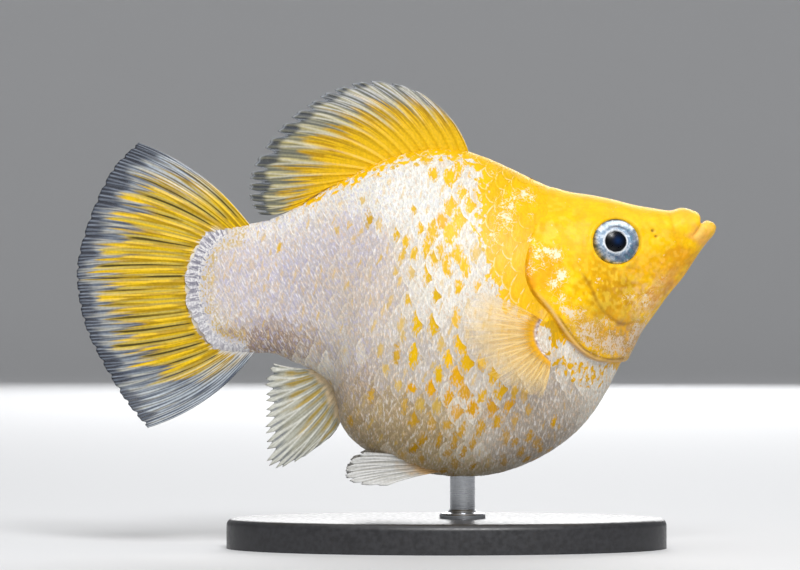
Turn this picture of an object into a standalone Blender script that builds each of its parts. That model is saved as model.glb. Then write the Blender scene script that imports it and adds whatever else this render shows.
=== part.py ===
"""A balloon molly at life size, swimming above a plain display stand.

Run it with blender --background --python part.py, or from Blender's text editor.
Metres, +Z up. The snout points to +X and the fish's right side faces -Y. The origin is
on the floor, under the middle of the whole object.

Outlines are written in millimetres, as (x, z) in the side view, and scaled once by MM.
"""

import math
from collections import namedtuple

import bmesh
import bpy
import numpy
from mathutils import Vector

MM = 0.001
GAP = 0.3

# The body hangs on ribs, each a straight line in the side view from the belly line to the back line.
# half_width is the greatest half thickness, widest is how far up the rib it lies, and upper and lower
# are the roundness above and below it: 2 is an ellipse, less is a wedge and more is boxy.
Rib = namedtuple("Rib", "back_x back_z belly_x belly_z half_width widest upper lower")
RIBS = (
    Rib(-21.6, 31.5, -21.6, 20.3, 0.62, 0.50, 2.0, 2.0),
    Rib(-18.2, 32.1, -18.2, 19.5, 1.35, 0.50, 2.0, 2.0),
    Rib(-14.6, 32.5, -14.8, 19.4, 2.15, 0.50, 2.0, 2.0),
    Rib(-12.2, 33.1, -12.4, 19.4, 2.75, 0.49, 1.9, 2.0),
    Rib(-9.6, 34.4, -10.2, 18.5, 3.40, 0.48, 1.9, 2.0),
    Rib(-7.0, 36.0, -8.2, 17.6, 4.15, 0.46, 1.8, 2.0),
    Rib(-4.6, 37.3, -6.6, 16.2, 5.00, 0.44, 1.8, 2.1),
    Rib(-2.4, 38.4, -5.95, 14.2, 5.80, 0.42, 1.8, 2.1),
    Rib(-0.4, 39.2, -5.5, 12.2, 6.60, 0.41, 1.8, 2.1),
    Rib(1.6, 39.7, -3.9, 10.3, 7.35, 0.40, 1.75, 2.2),
    Rib(3.4, 39.95, -1.1, 8.8, 7.95, 0.40, 1.75, 2.2),
    Rib(5.2, 39.95, 2.4, 7.6, 8.35, 0.40, 1.75, 2.2),
    Rib(7.0, 39.75, 6.4, 7.1, 8.50, 0.40, 1.75, 2.2),
    Rib(9.0, 39.1, 10.4, 7.5, 8.40, 0.41, 1.75, 2.2),
    Rib(11.0, 38.25, 14.2, 8.9, 8.05, 0.43, 1.8, 2.1),
    Rib(13.2, 37.2, 17.4, 11.0, 7.50, 0.46, 1.85, 2.0),
    Rib(15.4, 36.2, 19.6, 13.3, 6.85, 0.50, 2.0, 1.95),
    Rib(17.4, 35.6, 21.3, 16.0, 6.15, 0.54, 2.2, 1.9),
    Rib(19.4, 35.3, 22.6, 18.6, 5.50, 0.59, 2.4, 1.85),
    Rib(21.6, 34.85, 24.0, 20.9, 4.95, 0.64, 2.5, 1.8),
    Rib(23.8, 34.3, 25.6, 23.1, 4.40, 0.66, 2.5, 1.8),
    Rib(25.8, 33.95, 27.2, 25.3, 3.75, 0.66, 2.5, 1.85),
    Rib(27.3, 33.75, 28.6, 27.0, 3.15, 0.65, 2.4, 1.9),
    Rib(28.5, 34.02, 29.6, 28.5, 2.80, 0.64, 2.3, 2.0),
    Rib(29.6, 33.75, 30.4, 29.7, 2.50, 0.62, 2.2, 2.0),
    Rib(30.3, 33.2, 31.0, 30.5, 2.20, 0.60, 2.2, 2.0),
    Rib(30.6, 32.75, 31.35, 31.0, 1.95, 0.58, 2.2, 2.0),
    Rib(31.1, 32.7, 31.65, 31.4, 1.60, 0.56, 2.1, 2.0),
    Rib(31.6, 32.6, 31.85, 31.7, 1.15, 0.54, 2.0, 2.0),
    Rib(31.95, 32.2, 32.0, 32.0, 0.25, 0.50, 2.0, 2.0),
)
STALK_ENDS = 4.0
TRUNK_ENDS = 19.0
HEAD_STARTS = 12.5
RINGS_PER_RIB = 2
HEAD_RINGS_PER_RIB = 3
TRUNK_SIDES = 36
HEAD_SIDES = 44

# Lines on the side of the head, from the top down.
GILL_OPENING = (
    (17.2, 42.0),
    (15.9, 37.0),
    (14.6, 33.6),
    (13.3, 30.3),
    (12.8, 27.8),
    (13.4, 25.7),
    (15.2, 23.5),
    (16.6, 21.4),
    (17.9, 19.95),
    (19.3, 19.05),
    (21.0, 18.7),
    (23.5, 18.75),
    (27.0, 18.7),
)
CHEEK_EDGE = ((17.3, 30.9), (17.6, 28.6), (18.7, 26.3), (20.2, 24.1), (21.7, 22.8), (23.2, 22.5), (24.4, 23.4))
MOUTH_SLIT = ((32.8, 32.9), (30.9, 32.6), (30.1, 32.25), (29.4, 31.6), (29.0, 30.9))
LIP_FOLD = ((27.3, 34.4), (27.6, 33.0), (28.0, 31.4), (28.2, 29.9), (28.9, 28.6))
GILL_TOP = 31.5
GILL_FOOT = 19.6
GILL_FADE = 3.6
GILL_RISE = 0.40
GILL_SPREAD = 4.2
GROOVE_DEPTH = 0.16
GROOVE_WIDTH = 0.34
SLIT_WIDTH = 0.28

EYE = (21.9, 30.55)
EYE_RADIUS = 2.50
EYE_DEPTH = 1.60
EYE_STANDS_OUT = 0.60
ORBIT_RADIUS = 2.70
ORBIT_RIM = 0.14
ORBIT_RIM_WIDTH = 0.5
NOSTRILS = ((25.4, 31.65), (25.75, 31.1))
NOSTRIL_RADIUS = 0.17
NOSTRIL_DEPTH = 0.45

# The end of the scaled tail stalk, where the tail fin grows, from its top to its underside.
STALK_END = (
    (-14.8, 32.5),
    (-16.5, 32.4),
    (-17.9, 32.0),
    (-19.1, 31.0),
    (-20.0, 29.6),
    (-20.55, 28.0),
    (-20.75, 26.0),
    (-20.45, 24.0),
    (-19.75, 22.0),
    (-18.65, 20.5),
    (-17.3, 19.6),
    (-15.8, 19.3),
    (-14.3, 19.4),
)

# A fin is a fan of rays, each from the root line to the tip line. bows says how far the first, the middle
# and the last ray bend aside, as a share of their length. root_half and tip_half are half the membrane's
# thickness, ridge is how far a ray stands out of it, and scallop how far it draws back between the tips.
Fin = namedtuple("Fin", "rays root tips bows rows root_half tip_half ridge scallop")
TAIL_FIN = Fin(
    rays=22,
    root=STALK_END,
    tips=(
        (-25.8, 40.55),
        (-28.4, 37.9),
        (-30.5, 33.6),
        (-31.85, 29.0),
        (-31.85, 25.6),
        (-31.0, 21.9),
        (-29.2, 18.2),
        (-27.0, 14.6),
        (-24.9, 12.0),
    ),
    bows=(-0.045, 0.0, 0.10),
    rows=6,
    root_half=0.50,
    tip_half=0.16,
    ridge=0.16,
    scallop=0.03,
)
DORSAL_FIN = Fin(
    rays=17,
    root=((7.2, 39.7), (3.4, 40.0), (-0.4, 39.2), (-4.6, 37.3), (-8.9, 34.8)),
    tips=(
        (4.25, 44.2),
        (2.6, 45.4),
        (0.6, 46.25),
        (-1.8, 46.7),
        (-3.8, 46.6),
        (-5.7, 46.05),
        (-7.25, 45.4),
        (-8.6, 44.5),
        (-10.15, 43.4),
        (-11.6, 42.0),
        (-12.9, 40.4),
        (-14.1, 38.5),
        (-14.6, 37.1),
        (-14.7, 36.0),
        (-14.65, 34.9),
        (-14.25, 34.0),
        (-13.7, 33.35),
    ),
    bows=(-0.07, -0.10, 0.12),
    rows=6,
    root_half=0.40,
    tip_half=0.15,
    ridge=0.15,
    scallop=0.07,
)
ANAL_FIN = Fin(
    rays=10,
    root=((-8.8, 17.9), (-7.4, 17.0), (-6.5, 16.1), (-6.05, 14.6), (-5.65, 12.5)),
    tips=(
        (-12.4, 18.5),
        (-13.1, 16.9),
        (-13.1, 15.2),
        (-13.1, 13.6),
        (-13.15, 11.8),
        (-13.0, 10.2),
        (-12.9, 8.3),
        (-11.6, 8.0),
        (-9.3, 9.1),
        (-6.7, 11.0),
    ),
    bows=(0.03, 0.03, 0.05),
    rows=5,
    root_half=0.38,
    tip_half=0.15,
    ridge=0.15,
    scallop=0.10,
)
PELVIC_FIN = Fin(
    rays=7,
    root=((5.3, 8.5), (4.5, 7.7)),
    tips=((-3.2, 9.7), (-4.4, 9.0), (-5.0, 8.1), (-5.05, 7.3), (-4.4, 6.75), (-2.9, 6.45), (-0.9, 6.4)),
    bows=(-0.03, -0.03, -0.03),
    rows=5,
    root_half=0.36,
    tip_half=0.15,
    ridge=0.14,
    scallop=0.05,
)
PECTORAL_FIN = Fin(
    rays=12,
    root=((14.6, 22.7), (14.2, 21.6), (14.4, 20.3), (15.2, 19.1)),
    tips=(
        (8.6, 25.6),
        (7.2, 25.1),
        (6.5, 24.0),
        (6.4, 22.6),
        (6.6, 21.1),
        (7.2, 19.7),
        (8.1, 18.5),
        (9.3, 17.4),
        (10.6, 16.6),
        (11.9, 16.0),
        (13.0, 15.6),
        (14.2, 15.2),
    ),
    bows=(-0.03, 0.0, 0.05),
    rows=5,
    root_half=0.36,
    tip_half=0.14,
    ridge=0.13,
    scallop=0.03,
)
RAY_FOOT = 0.22
TAIL_WAVE = 0.35
FIN_WAVE = 0.25

# How far out of the middle plane the paired fins lie. A pelvic fin leans out by PELVIC_LEAN on its way to
# the tip. A pectoral starts PECTORAL_SINK under the skin, has risen by PECTORAL_LIFT where it is
# PECTORAL_LEAVES of the way out, and leans on by PECTORAL_LEAN.
PELVIC_OFFSET = 2.2
PELVIC_LEAN = 1.5
PECTORAL_SINK = 0.5
PECTORAL_LIFT = 1.3
PECTORAL_LEAVES = 0.2
PECTORAL_LEAN = 2.6

BASE_CENTRE = 5.0
BASE_LENGTH = 44.0
BASE_WIDTH = 25.0
BASE_HEIGHT = 3.0
BASE_EDGE = 0.7
BASE_SIDES = 56
ROD_X = 6.6
ROD_RADIUS = 1.25
ROD_SIDES = 20

Look = namedtuple("Look", "colour roughness metallic")
LOOKS = {
    "head_skin": Look((0.95, 0.62, 0.06), 0.40, 0.0),
    "scaled_skin": Look((0.80, 0.76, 0.74), 0.38, 0.0),
    "tail_membrane": Look((0.80, 0.58, 0.10), 0.45, 0.0),
    "dorsal_membrane": Look((0.85, 0.62, 0.10), 0.45, 0.0),
    "pale_membrane": Look((0.86, 0.83, 0.70), 0.45, 0.0),
    "pectoral_membrane": Look((0.90, 0.74, 0.42), 0.45, 0.0),
    "eye": Look((0.45, 0.55, 0.62), 0.12, 0.0),
    "base": Look((0.13, 0.13, 0.14), 0.55, 0.0),
    "rod": Look((0.62, 0.63, 0.65), 0.28, 1.0),
}


def smooth_step(x):
    """0 below 0, 1 above 1, and a smooth rise between."""
    x = min(max(x, 0.0), 1.0)
    return x * x * (3 - 2 * x)


def along(points, place):
    """The coordinates at a place on a smooth line through points: 0 is the first, 1 the next, and so on."""
    last = len(points) - 1
    start = min(max(int(place), 0), last - 1)
    f = place - start
    near = [points[min(max(start + step, 0), last)] for step in (-1, 0, 1, 2)]
    weights = (
        (-f + 2 * f**2 - f**3) / 2,
        (2 - 5 * f**2 + 3 * f**3) / 2,
        (f + 4 * f**2 - 3 * f**3) / 2,
        (f**3 - f**2) / 2,
    )
    return tuple(sum(w * c for w, c in zip(weights, column)) for column in zip(*near))


def drawn(points, steps=6):
    """A line through points as many short straight pieces, each a Vector."""
    count = (len(points) - 1) * steps
    return [Vector(along(points, k / steps)) for k in range(count + 1)]


def shifted(line, distance):
    """The line moved sideways, to the left of its own direction where distance is above 0."""
    moved = []
    for k, point in enumerate(line):
        way = (line[min(k + 1, len(line) - 1)] - line[max(k - 1, 0)]).normalized()
        moved.append(point + distance * Vector((-way.y, way.x)))
    return moved


def distance_to(line, point):
    """How far a point is from a drawn line: above 0 on the left of the line's own direction."""
    best = math.inf
    for a, b in zip(line, line[1:]):
        piece = b - a
        share = min(max((point - a).dot(piece) / piece.length_squared, 0.0), 1.0)
        off = point - (a + share * piece)
        if off.length < abs(best):
            best = math.copysign(off.length, piece.cross(off))
    return best


def section_point(rib, turn, grow=0.0):
    """A point of a rib's cross-section in millimetres. turn is 0 on the left side and goes up over the back."""
    back = Vector((rib.back_x, rib.back_z))
    belly = Vector((rib.belly_x, rib.belly_z))
    spread = (back - belly).normalized() * grow
    back, belly = back + spread, belly - spread
    high, wide = math.sin(turn), math.cos(turn)
    power = 2 / (rib.upper if high > 0 else rib.lower)
    reach = 1 - rib.widest if high > 0 else rib.widest
    up = rib.widest + math.copysign(reach * abs(high) ** power, high)
    across = math.copysign((rib.half_width + grow) * abs(wide) ** power, wide)
    middle = belly.lerp(back, up)
    return Vector((middle.x, across, middle.y))


def rib_at(place):
    """The rib at a place from the tail, 0, to the snout, 29."""
    return Rib(*along(RIBS, place))


def side_of_body(x, z):
    """The body's half thickness at a point of the side view."""
    low, high = 0.0, len(RIBS) - 1.0
    for _ in range(30):
        middle = (low + high) / 2
        rib = rib_at(middle)
        rise_x, rise_z = rib.back_x - rib.belly_x, rib.back_z - rib.belly_z
        ahead = (x - rib.belly_x) * rise_z - (z - rib.belly_z) * rise_x
        low, high = (middle, high) if ahead > 0 else (low, middle)
    rib = rib_at(low)
    rise = Vector((rib.back_x - rib.belly_x, rib.back_z - rib.belly_z))
    up = (Vector((x, z)) - Vector((rib.belly_x, rib.belly_z))).dot(rise) / rise.length_squared
    reach = (up - rib.widest) / (1 - rib.widest) if up > rib.widest else (rib.widest - up) / rib.widest
    power = rib.upper if up > rib.widest else rib.lower
    return rib.half_width * max(1 - min(reach, 1.0) ** power, 0.0) ** (1 / power)


def way_out(x, z):
    """The direction straight out of the left side of the body at a point of the side view."""
    step = 0.5
    slope_x = (side_of_body(x + step, z) - side_of_body(x - step, z)) / (2 * step)
    slope_z = (side_of_body(x, z + step) - side_of_body(x, z - step)) / (2 * step)
    return Vector((-slope_x, 1.0, -slope_z)).normalized()


def head_relief(point, lines):
    """How far the head's side stands out at a point: gill cover, cheek, rim of the eye and lips."""
    place = Vector((point.x, point.z))
    cover = smooth_step((GILL_TOP - place.y) / GILL_FADE) * smooth_step((place.y - GILL_FOOT) / GILL_FADE)
    gill = 1 - max(distance_to(lines["gill"], place), 0.0) / GILL_SPREAD
    rise = GILL_RISE * smooth_step(gill) * cover
    rise -= GROOVE_DEPTH * math.exp(-((distance_to(lines["cheek"], place) / GROOVE_WIDTH) ** 2))
    rise -= GROOVE_DEPTH * math.exp(-((distance_to(lines["fold"], place) / GROOVE_WIDTH) ** 2))
    rim = (place - Vector(EYE)).length - ORBIT_RADIUS
    return rise + ORBIT_RIM * math.exp(-((rim / ORBIT_RIM_WIDTH) ** 2))


def linked(name, bm, look):
    """A new object from a bmesh in millimetres, with its faces pointing out and its own material."""
    bmesh.ops.scale(bm, vec=(MM, MM, MM), verts=bm.verts)
    bmesh.ops.recalc_face_normals(bm, faces=bm.faces)
    mesh = bpy.data.meshes.new(name)
    bm.to_mesh(mesh)
    bm.free()
    obj = bpy.data.objects.new(name, mesh)
    bpy.context.scene.collection.objects.link(obj)
    if look:
        obj.data.materials.append(material(name, LOOKS[look]))
        obj.data.shade_smooth()
        obj.data.set_sharp_from_angle(angle=math.radians(50))
    return obj


def material(name, look):
    """A Principled material with a look's colour, roughness and metallic value."""
    made = bpy.data.materials.new(name)
    made.use_nodes = True
    shader = made.node_tree.nodes["Principled BSDF"]
    shader.inputs["Base Color"].default_value = (*look.colour, 1.0)
    shader.inputs["Roughness"].default_value = look.roughness
    shader.inputs["Metallic"].default_value = look.metallic
    return made


def largest_body(mesh):
    """Deletes all but the largest closed surface of a mesh."""
    bm = bmesh.new()
    bm.from_mesh(mesh)
    left, groups = set(bm.faces), []
    while left:
        group, edge = set(), [left.pop()]
        while edge:
            face = edge.pop()
            group.add(face)
            near = {other for side in face.edges for other in side.link_faces} & left
            left -= near
            edge.extend(near)
        groups.append(group)
    groups.sort(key=lambda group: sum(face.calc_area() for face in group))
    loose = [face for group in groups[:-1] for face in group]
    bmesh.ops.delete(bm, geom=loose, context="FACES")
    bm.to_mesh(mesh)
    bm.free()


def cut(obj, cutters, solver="EXACT"):
    """Cuts closed shapes out of an object, removes them and keeps the largest body that is left."""
    group = bpy.data.collections.new("cutters")
    bpy.context.scene.collection.children.link(group)
    for cutter in cutters:
        group.objects.link(cutter)
    modifier = obj.modifiers.new("cut", "BOOLEAN")
    modifier.solver = solver
    modifier.operand_type = "COLLECTION"
    modifier.collection = group
    graph = bpy.context.evaluated_depsgraph_get()
    mesh = bpy.data.meshes.new_from_object(obj.evaluated_get(graph))
    obj.modifiers.remove(modifier)
    obj.data = mesh
    for cutter in cutters:
        bpy.data.objects.remove(cutter)
    bpy.data.collections.remove(group)
    largest_body(mesh)


def body_tube(name, start, end, rings, sides, look=None, grow=0.0, relief=None):
    """The closed stretch of body between two places, as rings round the ribs."""
    bm = bmesh.new()
    grid = bmesh.ops.create_grid(bm, x_segments=rings, y_segments=sides, size=0.5)
    for vert in grid["verts"]:
        rib = rib_at(start + (end - start) * (vert.co.x + 0.5))
        point = section_point(rib, math.tau * (vert.co.y + 0.5), grow)
        if relief and abs(point.y) > 0.01:
            sideways = abs(point.y) / (rib.half_width + grow)
            point.y += math.copysign(relief(point) * smooth_step(2 * sideways), point.y)
        vert.co = point
    bmesh.ops.remove_doubles(bm, verts=bm.verts, dist=1e-4)
    bmesh.ops.holes_fill(bm, edges=[edge for edge in bm.edges if edge.is_boundary])
    return linked(name, bm, look)


def blade(name, outline, half_width=20.0):
    """A flat outline in the side view, drawn out across the whole body: a cutter."""
    bm = bmesh.new()
    corners = [bm.verts.new((point.x, -half_width, point.y)) for point in outline]
    face = bm.faces.new(corners)
    sheet = bmesh.ops.extrude_face_region(bm, geom=[face])
    moved = [item for item in sheet["geom"] if isinstance(item, bmesh.types.BMVert)]
    bmesh.ops.translate(bm, vec=(0, 2 * half_width, 0), verts=moved)
    return linked(name, bm, None)


def fin_sheet(name, fin, place, look):
    """A fin as one closed sheet: each ray is a ridge on both faces, with flat membrane between.

    place(ray, reach) gives the middle of the fin and its sideways direction, where ray
    counts from 0 and reach runs from 0 at the root to 1 at the tip.
    """
    columns = [ray + step for ray in range(fin.rays) for step in (-RAY_FOOT, 0, RAY_FOOT)]
    bm = bmesh.new()
    grid = bmesh.ops.create_grid(bm, x_segments=len(columns) - 1, y_segments=fin.rows, size=0.5)
    bmesh.ops.triangulate(bm, faces=bm.faces, quad_method="FIXED")
    share = {vert: (vert.co.x + 0.5, vert.co.y + 0.5) for vert in grid["verts"]}
    rim = [edge for edge in bm.edges if edge.is_boundary]
    twin = bmesh.ops.duplicate(bm, geom=[*bm.verts, *bm.edges, *bm.faces])["vert_map"]
    for vert, (side, reach) in share.items():
        number = round(side * (len(columns) - 1))
        ray, crest = columns[number], number % 3 == 1
        fall = 0.0 if crest else fin.scallop
        middle, sideways = place(ray, reach * (1 - fall))
        half = fin.root_half + (fin.tip_half - fin.root_half) * reach**0.6
        half += fin.ridge * (1 - 0.6 * reach) if crest else 0.0
        vert.co = middle - sideways * half
        twin[vert].co = middle + sideways * half
    for edge in rim:
        a, b = edge.verts
        skirt = bm.faces.new((a, b, twin[b], twin[a]))
        bmesh.ops.triangulate(bm, faces=[skirt], quad_method="FIXED")
    return linked(name, bm, look)


def fan_point(fin, root, tips, ray, reach):
    """The side-view point on a ray: a bent line from the root line to the tip line."""
    share = (ray + RAY_FOOT) / (fin.rays - 1 + 2 * RAY_FOOT)
    start = Vector(along(root, share * (len(root) - 1)))
    end = Vector(along(tips, share * (len(tips) - 1)))
    across = end - start
    bow = numpy.interp(share, (0.0, 0.5, 1.0), fin.bows)
    return start.lerp(end, reach) + Vector((-across.y, across.x)) * bow * 4 * reach * (1 - reach)


def middle_fin(name, fin, root, look, wave):
    """A fin in the fish's middle plane, with a gentle wave that grows to its tips."""

    def place(ray, reach):
        point = fan_point(fin, root, fin.tips, ray, reach)
        sway = wave * math.sin(ray / (fin.rays - 1) * 2.2 * math.pi) * reach
        return Vector((point.x, sway, point.y)), Vector((0, 1, 0))

    return fin_sheet(name, fin, place, look)


def paired_fin(name, fin, side, spread, look):
    """A fin on one side of the body, where spread(point, reach) is how far out of the middle plane it lies."""

    def place(ray, reach):
        point = fan_point(fin, fin.root, fin.tips, ray, reach)
        return Vector((point.x, side * spread(point, reach), point.y)), Vector((0, side, 0))

    return fin_sheet(name, fin, place, look)


def pelvic_spread(point, reach):
    """A pelvic fin leans out a little, all the way from its root under the belly."""
    return PELVIC_OFFSET + PELVIC_LEAN * reach


def pectoral_spread(point, reach):
    """A pectoral fin leaves the side at once, and then follows it with more and more room."""
    off_side = PECTORAL_LIFT * min(reach / PECTORAL_LEAVES, 1.0) + PECTORAL_LEAN * reach - PECTORAL_SINK
    return side_of_body(point.x, point.y) + off_side


def make_body():
    """The tail stalk, the trunk and the head, parted by thin gaps."""
    stalk = body_tube("tail_stalk", 0.0, STALK_ENDS - 0.07, 10, 32, "scaled_skin")
    behind = shifted(drawn(STALK_END[1:-1], 2), GAP / 2)
    behind += [Vector(corner) for corner in ((-15.2, 12.0), (-30.0, 12.0), (-30.0, 40.0), (-15.6, 40.0))]
    cut(stalk, [blade("behind_stalk", behind)])

    rings = round((TRUNK_ENDS - STALK_ENDS) * RINGS_PER_RIB)
    trunk = body_tube("trunk", STALK_ENDS + 0.07, TRUNK_ENDS, rings, TRUNK_SIDES, "scaled_skin")
    front = shifted(drawn(GILL_OPENING, 3), -GAP / 2) + [Vector((40.0, 18.6)), Vector((40.0, 43.0))]
    cut(trunk, [blade("before_trunk", front)])
    make_head()


def make_head():
    """The head with its gill cover and lips, cut for the mouth, the eyes and the nostrils."""
    lines = {"gill": drawn(GILL_OPENING), "cheek": drawn(CHEEK_EDGE), "fold": drawn(LIP_FOLD)}
    rings = round((len(RIBS) - 1 - HEAD_STARTS) * HEAD_RINGS_PER_RIB)
    head = body_tube(
        "head",
        HEAD_STARTS,
        len(RIBS) - 1,
        rings,
        HEAD_SIDES,
        "head_skin",
        relief=lambda point: head_relief(point, lines),
    )
    rear = shifted(drawn(GILL_OPENING, 3), GAP / 2)
    rear += [Vector(corner) for corner in ((27.0, 0.0), (0.0, 0.0), (0.0, 42.0))]
    slit = drawn(MOUTH_SLIT, 3)
    wedge = shifted(slit, SLIT_WIDTH / 2) + list(reversed(shifted(slit, -SLIT_WIDTH / 2)))
    cutters = [blade("behind_head", rear), blade("mouth_slit", wedge)]
    for side, word in ((-1, "right"), (1, "left")):
        sink = EYE_STANDS_OUT - EYE_DEPTH
        cutters.append(ball("socket", EYE, side, sink, EYE_RADIUS + GAP, EYE_DEPTH + GAP))
        ball("eye_" + word, EYE, side, sink, EYE_RADIUS, EYE_DEPTH, look="eye")
        for spot in NOSTRILS:
            cutters.append(ball("nostril", spot, side, 0.0, NOSTRIL_RADIUS, NOSTRIL_DEPTH, sides=8))
    cut(head, cutters, solver="MANIFOLD")


def ball(name, spot, side, rise, radius, depth, sides=20, look=None):
    """A flattened ball on one side of the head, square to the skin and rise out of it: an eye, or a cutter."""
    out = way_out(*spot)
    centre = Vector((spot[0], side_of_body(*spot), spot[1])) + rise * out
    out.y, centre.y = side * out.y, side * centre.y
    bm = bmesh.new()
    bmesh.ops.create_uvsphere(bm, u_segments=sides, v_segments=sides // 2 + 2, radius=1.0)
    bmesh.ops.scale(bm, vec=(radius, radius, depth), verts=bm.verts)
    bmesh.ops.rotate(bm, verts=bm.verts, matrix=out.to_track_quat("Z", "X").to_matrix())
    bmesh.ops.translate(bm, vec=centre, verts=bm.verts)
    return linked(name, bm, look)


def inflated(name):
    """The whole body grown by the gap, to cut the roots of what touches it."""
    return body_tube(name, 3.0, 20.0, 51, 48, grow=GAP)


def make_fins():
    """The tail, dorsal and anal fins in the middle plane, and both pairs of side fins."""
    root = shifted(drawn(STALK_END, 4), -GAP / 2)
    middle_fin("tail_fin", TAIL_FIN, root, "tail_membrane", TAIL_WAVE)
    root = lifted(DORSAL_FIN.root, Vector((-0.2, 1.0)))
    middle_fin("dorsal_fin", DORSAL_FIN, root, "dorsal_membrane", FIN_WAVE)
    root = lifted(ANAL_FIN.root, Vector((-0.9, -0.3)))
    middle_fin("anal_fin", ANAL_FIN, root, "pale_membrane", FIN_WAVE)
    for side, word in ((-1, "right"), (1, "left")):
        fin = paired_fin("pelvic_fin_" + word, PELVIC_FIN, side, pelvic_spread, "pale_membrane")
        cut(fin, [inflated("clear_of_belly")])
        fin = paired_fin("pectoral_fin_" + word, PECTORAL_FIN, side, pectoral_spread, "pectoral_membrane")
        cut(fin, [inflated("clear_of_side")])


def lifted(line, way):
    """A line moved by the gap along a direction."""
    step = Vector(way).normalized() * GAP
    return [Vector(point) + step for point in line]


def make_stand():
    """A flat oval base and one short rod up to the belly."""
    bm = bmesh.new()
    ring = bmesh.ops.create_circle(bm, cap_ends=True, segments=BASE_SIDES, radius=1.0)
    bmesh.ops.scale(bm, vec=(BASE_LENGTH / 2, BASE_WIDTH / 2, 1.0), verts=ring["verts"])
    top = bmesh.ops.extrude_face_region(bm, geom=list(bm.faces))
    lifted_verts = [item for item in top["geom"] if isinstance(item, bmesh.types.BMVert)]
    bmesh.ops.translate(bm, vec=(0, 0, BASE_HEIGHT), verts=lifted_verts)
    edges = [edge for edge in bm.edges if all(vert.co.z > BASE_HEIGHT / 2 for vert in edge.verts)]
    bmesh.ops.bevel(bm, geom=edges, offset=BASE_EDGE, segments=3, profile=0.5, affect="EDGES", material=-1)
    bmesh.ops.translate(bm, vec=(BASE_CENTRE, 0, 0), verts=bm.verts)
    linked("stand_base", bm, "base")

    bm = bmesh.new()
    bottom, top = BASE_HEIGHT + GAP, 12.0
    bmesh.ops.create_cone(
        bm,
        cap_ends=True,
        segments=ROD_SIDES,
        radius1=ROD_RADIUS,
        radius2=ROD_RADIUS,
        depth=top - bottom,
    )
    bmesh.ops.translate(bm, vec=(ROD_X, 0, (bottom + top) / 2), verts=bm.verts)
    rod = linked("stand_rod", bm, "rod")
    cut(rod, [inflated("clear_of_rod")])


def main():
    """Clears the scene and builds the fish and its stand."""
    for obj in list(bpy.data.objects):
        bpy.data.objects.remove(obj)
    make_body()
    make_fins()
    make_stand()


if __name__ == "__main__":
    main()
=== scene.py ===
"""A balloon molly at life size, on a plain display stand, dressed over its solid parts.

Outlines are in millimetres, as (x, z) in the side view, and are scaled once by MM. The
snout points to +X and the fish's right side faces -Y.
"""

import logging
import math
from collections.abc import Callable, Sequence
from dataclasses import dataclass, field
from enum import Enum, IntEnum
from functools import partial

import bmesh
import bpy
import numpy as np
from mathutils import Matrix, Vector

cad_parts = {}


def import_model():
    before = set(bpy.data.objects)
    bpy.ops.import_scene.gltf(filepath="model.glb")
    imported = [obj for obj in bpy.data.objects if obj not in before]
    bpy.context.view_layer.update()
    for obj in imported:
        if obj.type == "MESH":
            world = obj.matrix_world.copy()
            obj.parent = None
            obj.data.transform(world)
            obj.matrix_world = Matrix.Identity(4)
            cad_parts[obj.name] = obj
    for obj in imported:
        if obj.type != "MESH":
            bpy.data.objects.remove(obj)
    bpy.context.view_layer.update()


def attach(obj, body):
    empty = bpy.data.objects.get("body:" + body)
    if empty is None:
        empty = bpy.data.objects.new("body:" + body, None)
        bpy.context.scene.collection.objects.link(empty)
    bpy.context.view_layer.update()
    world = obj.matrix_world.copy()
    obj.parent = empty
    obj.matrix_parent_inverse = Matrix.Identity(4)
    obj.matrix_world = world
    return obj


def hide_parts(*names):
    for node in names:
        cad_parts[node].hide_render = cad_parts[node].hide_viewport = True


log = logging.getLogger("balloon_molly")

# Numbers or points for many places, one row each.
Rows = np.ndarray

# An input or output of a material's node, and what an input is given.
Socket = bpy.types.NodeSocket
Given = Socket | Rows | float | tuple[float, ...] | None

MM = 0.001

# How far the skin lies under the body's own surface where scales cover it, in millimetres.
COAT_DEPTH = 0.17

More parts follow.
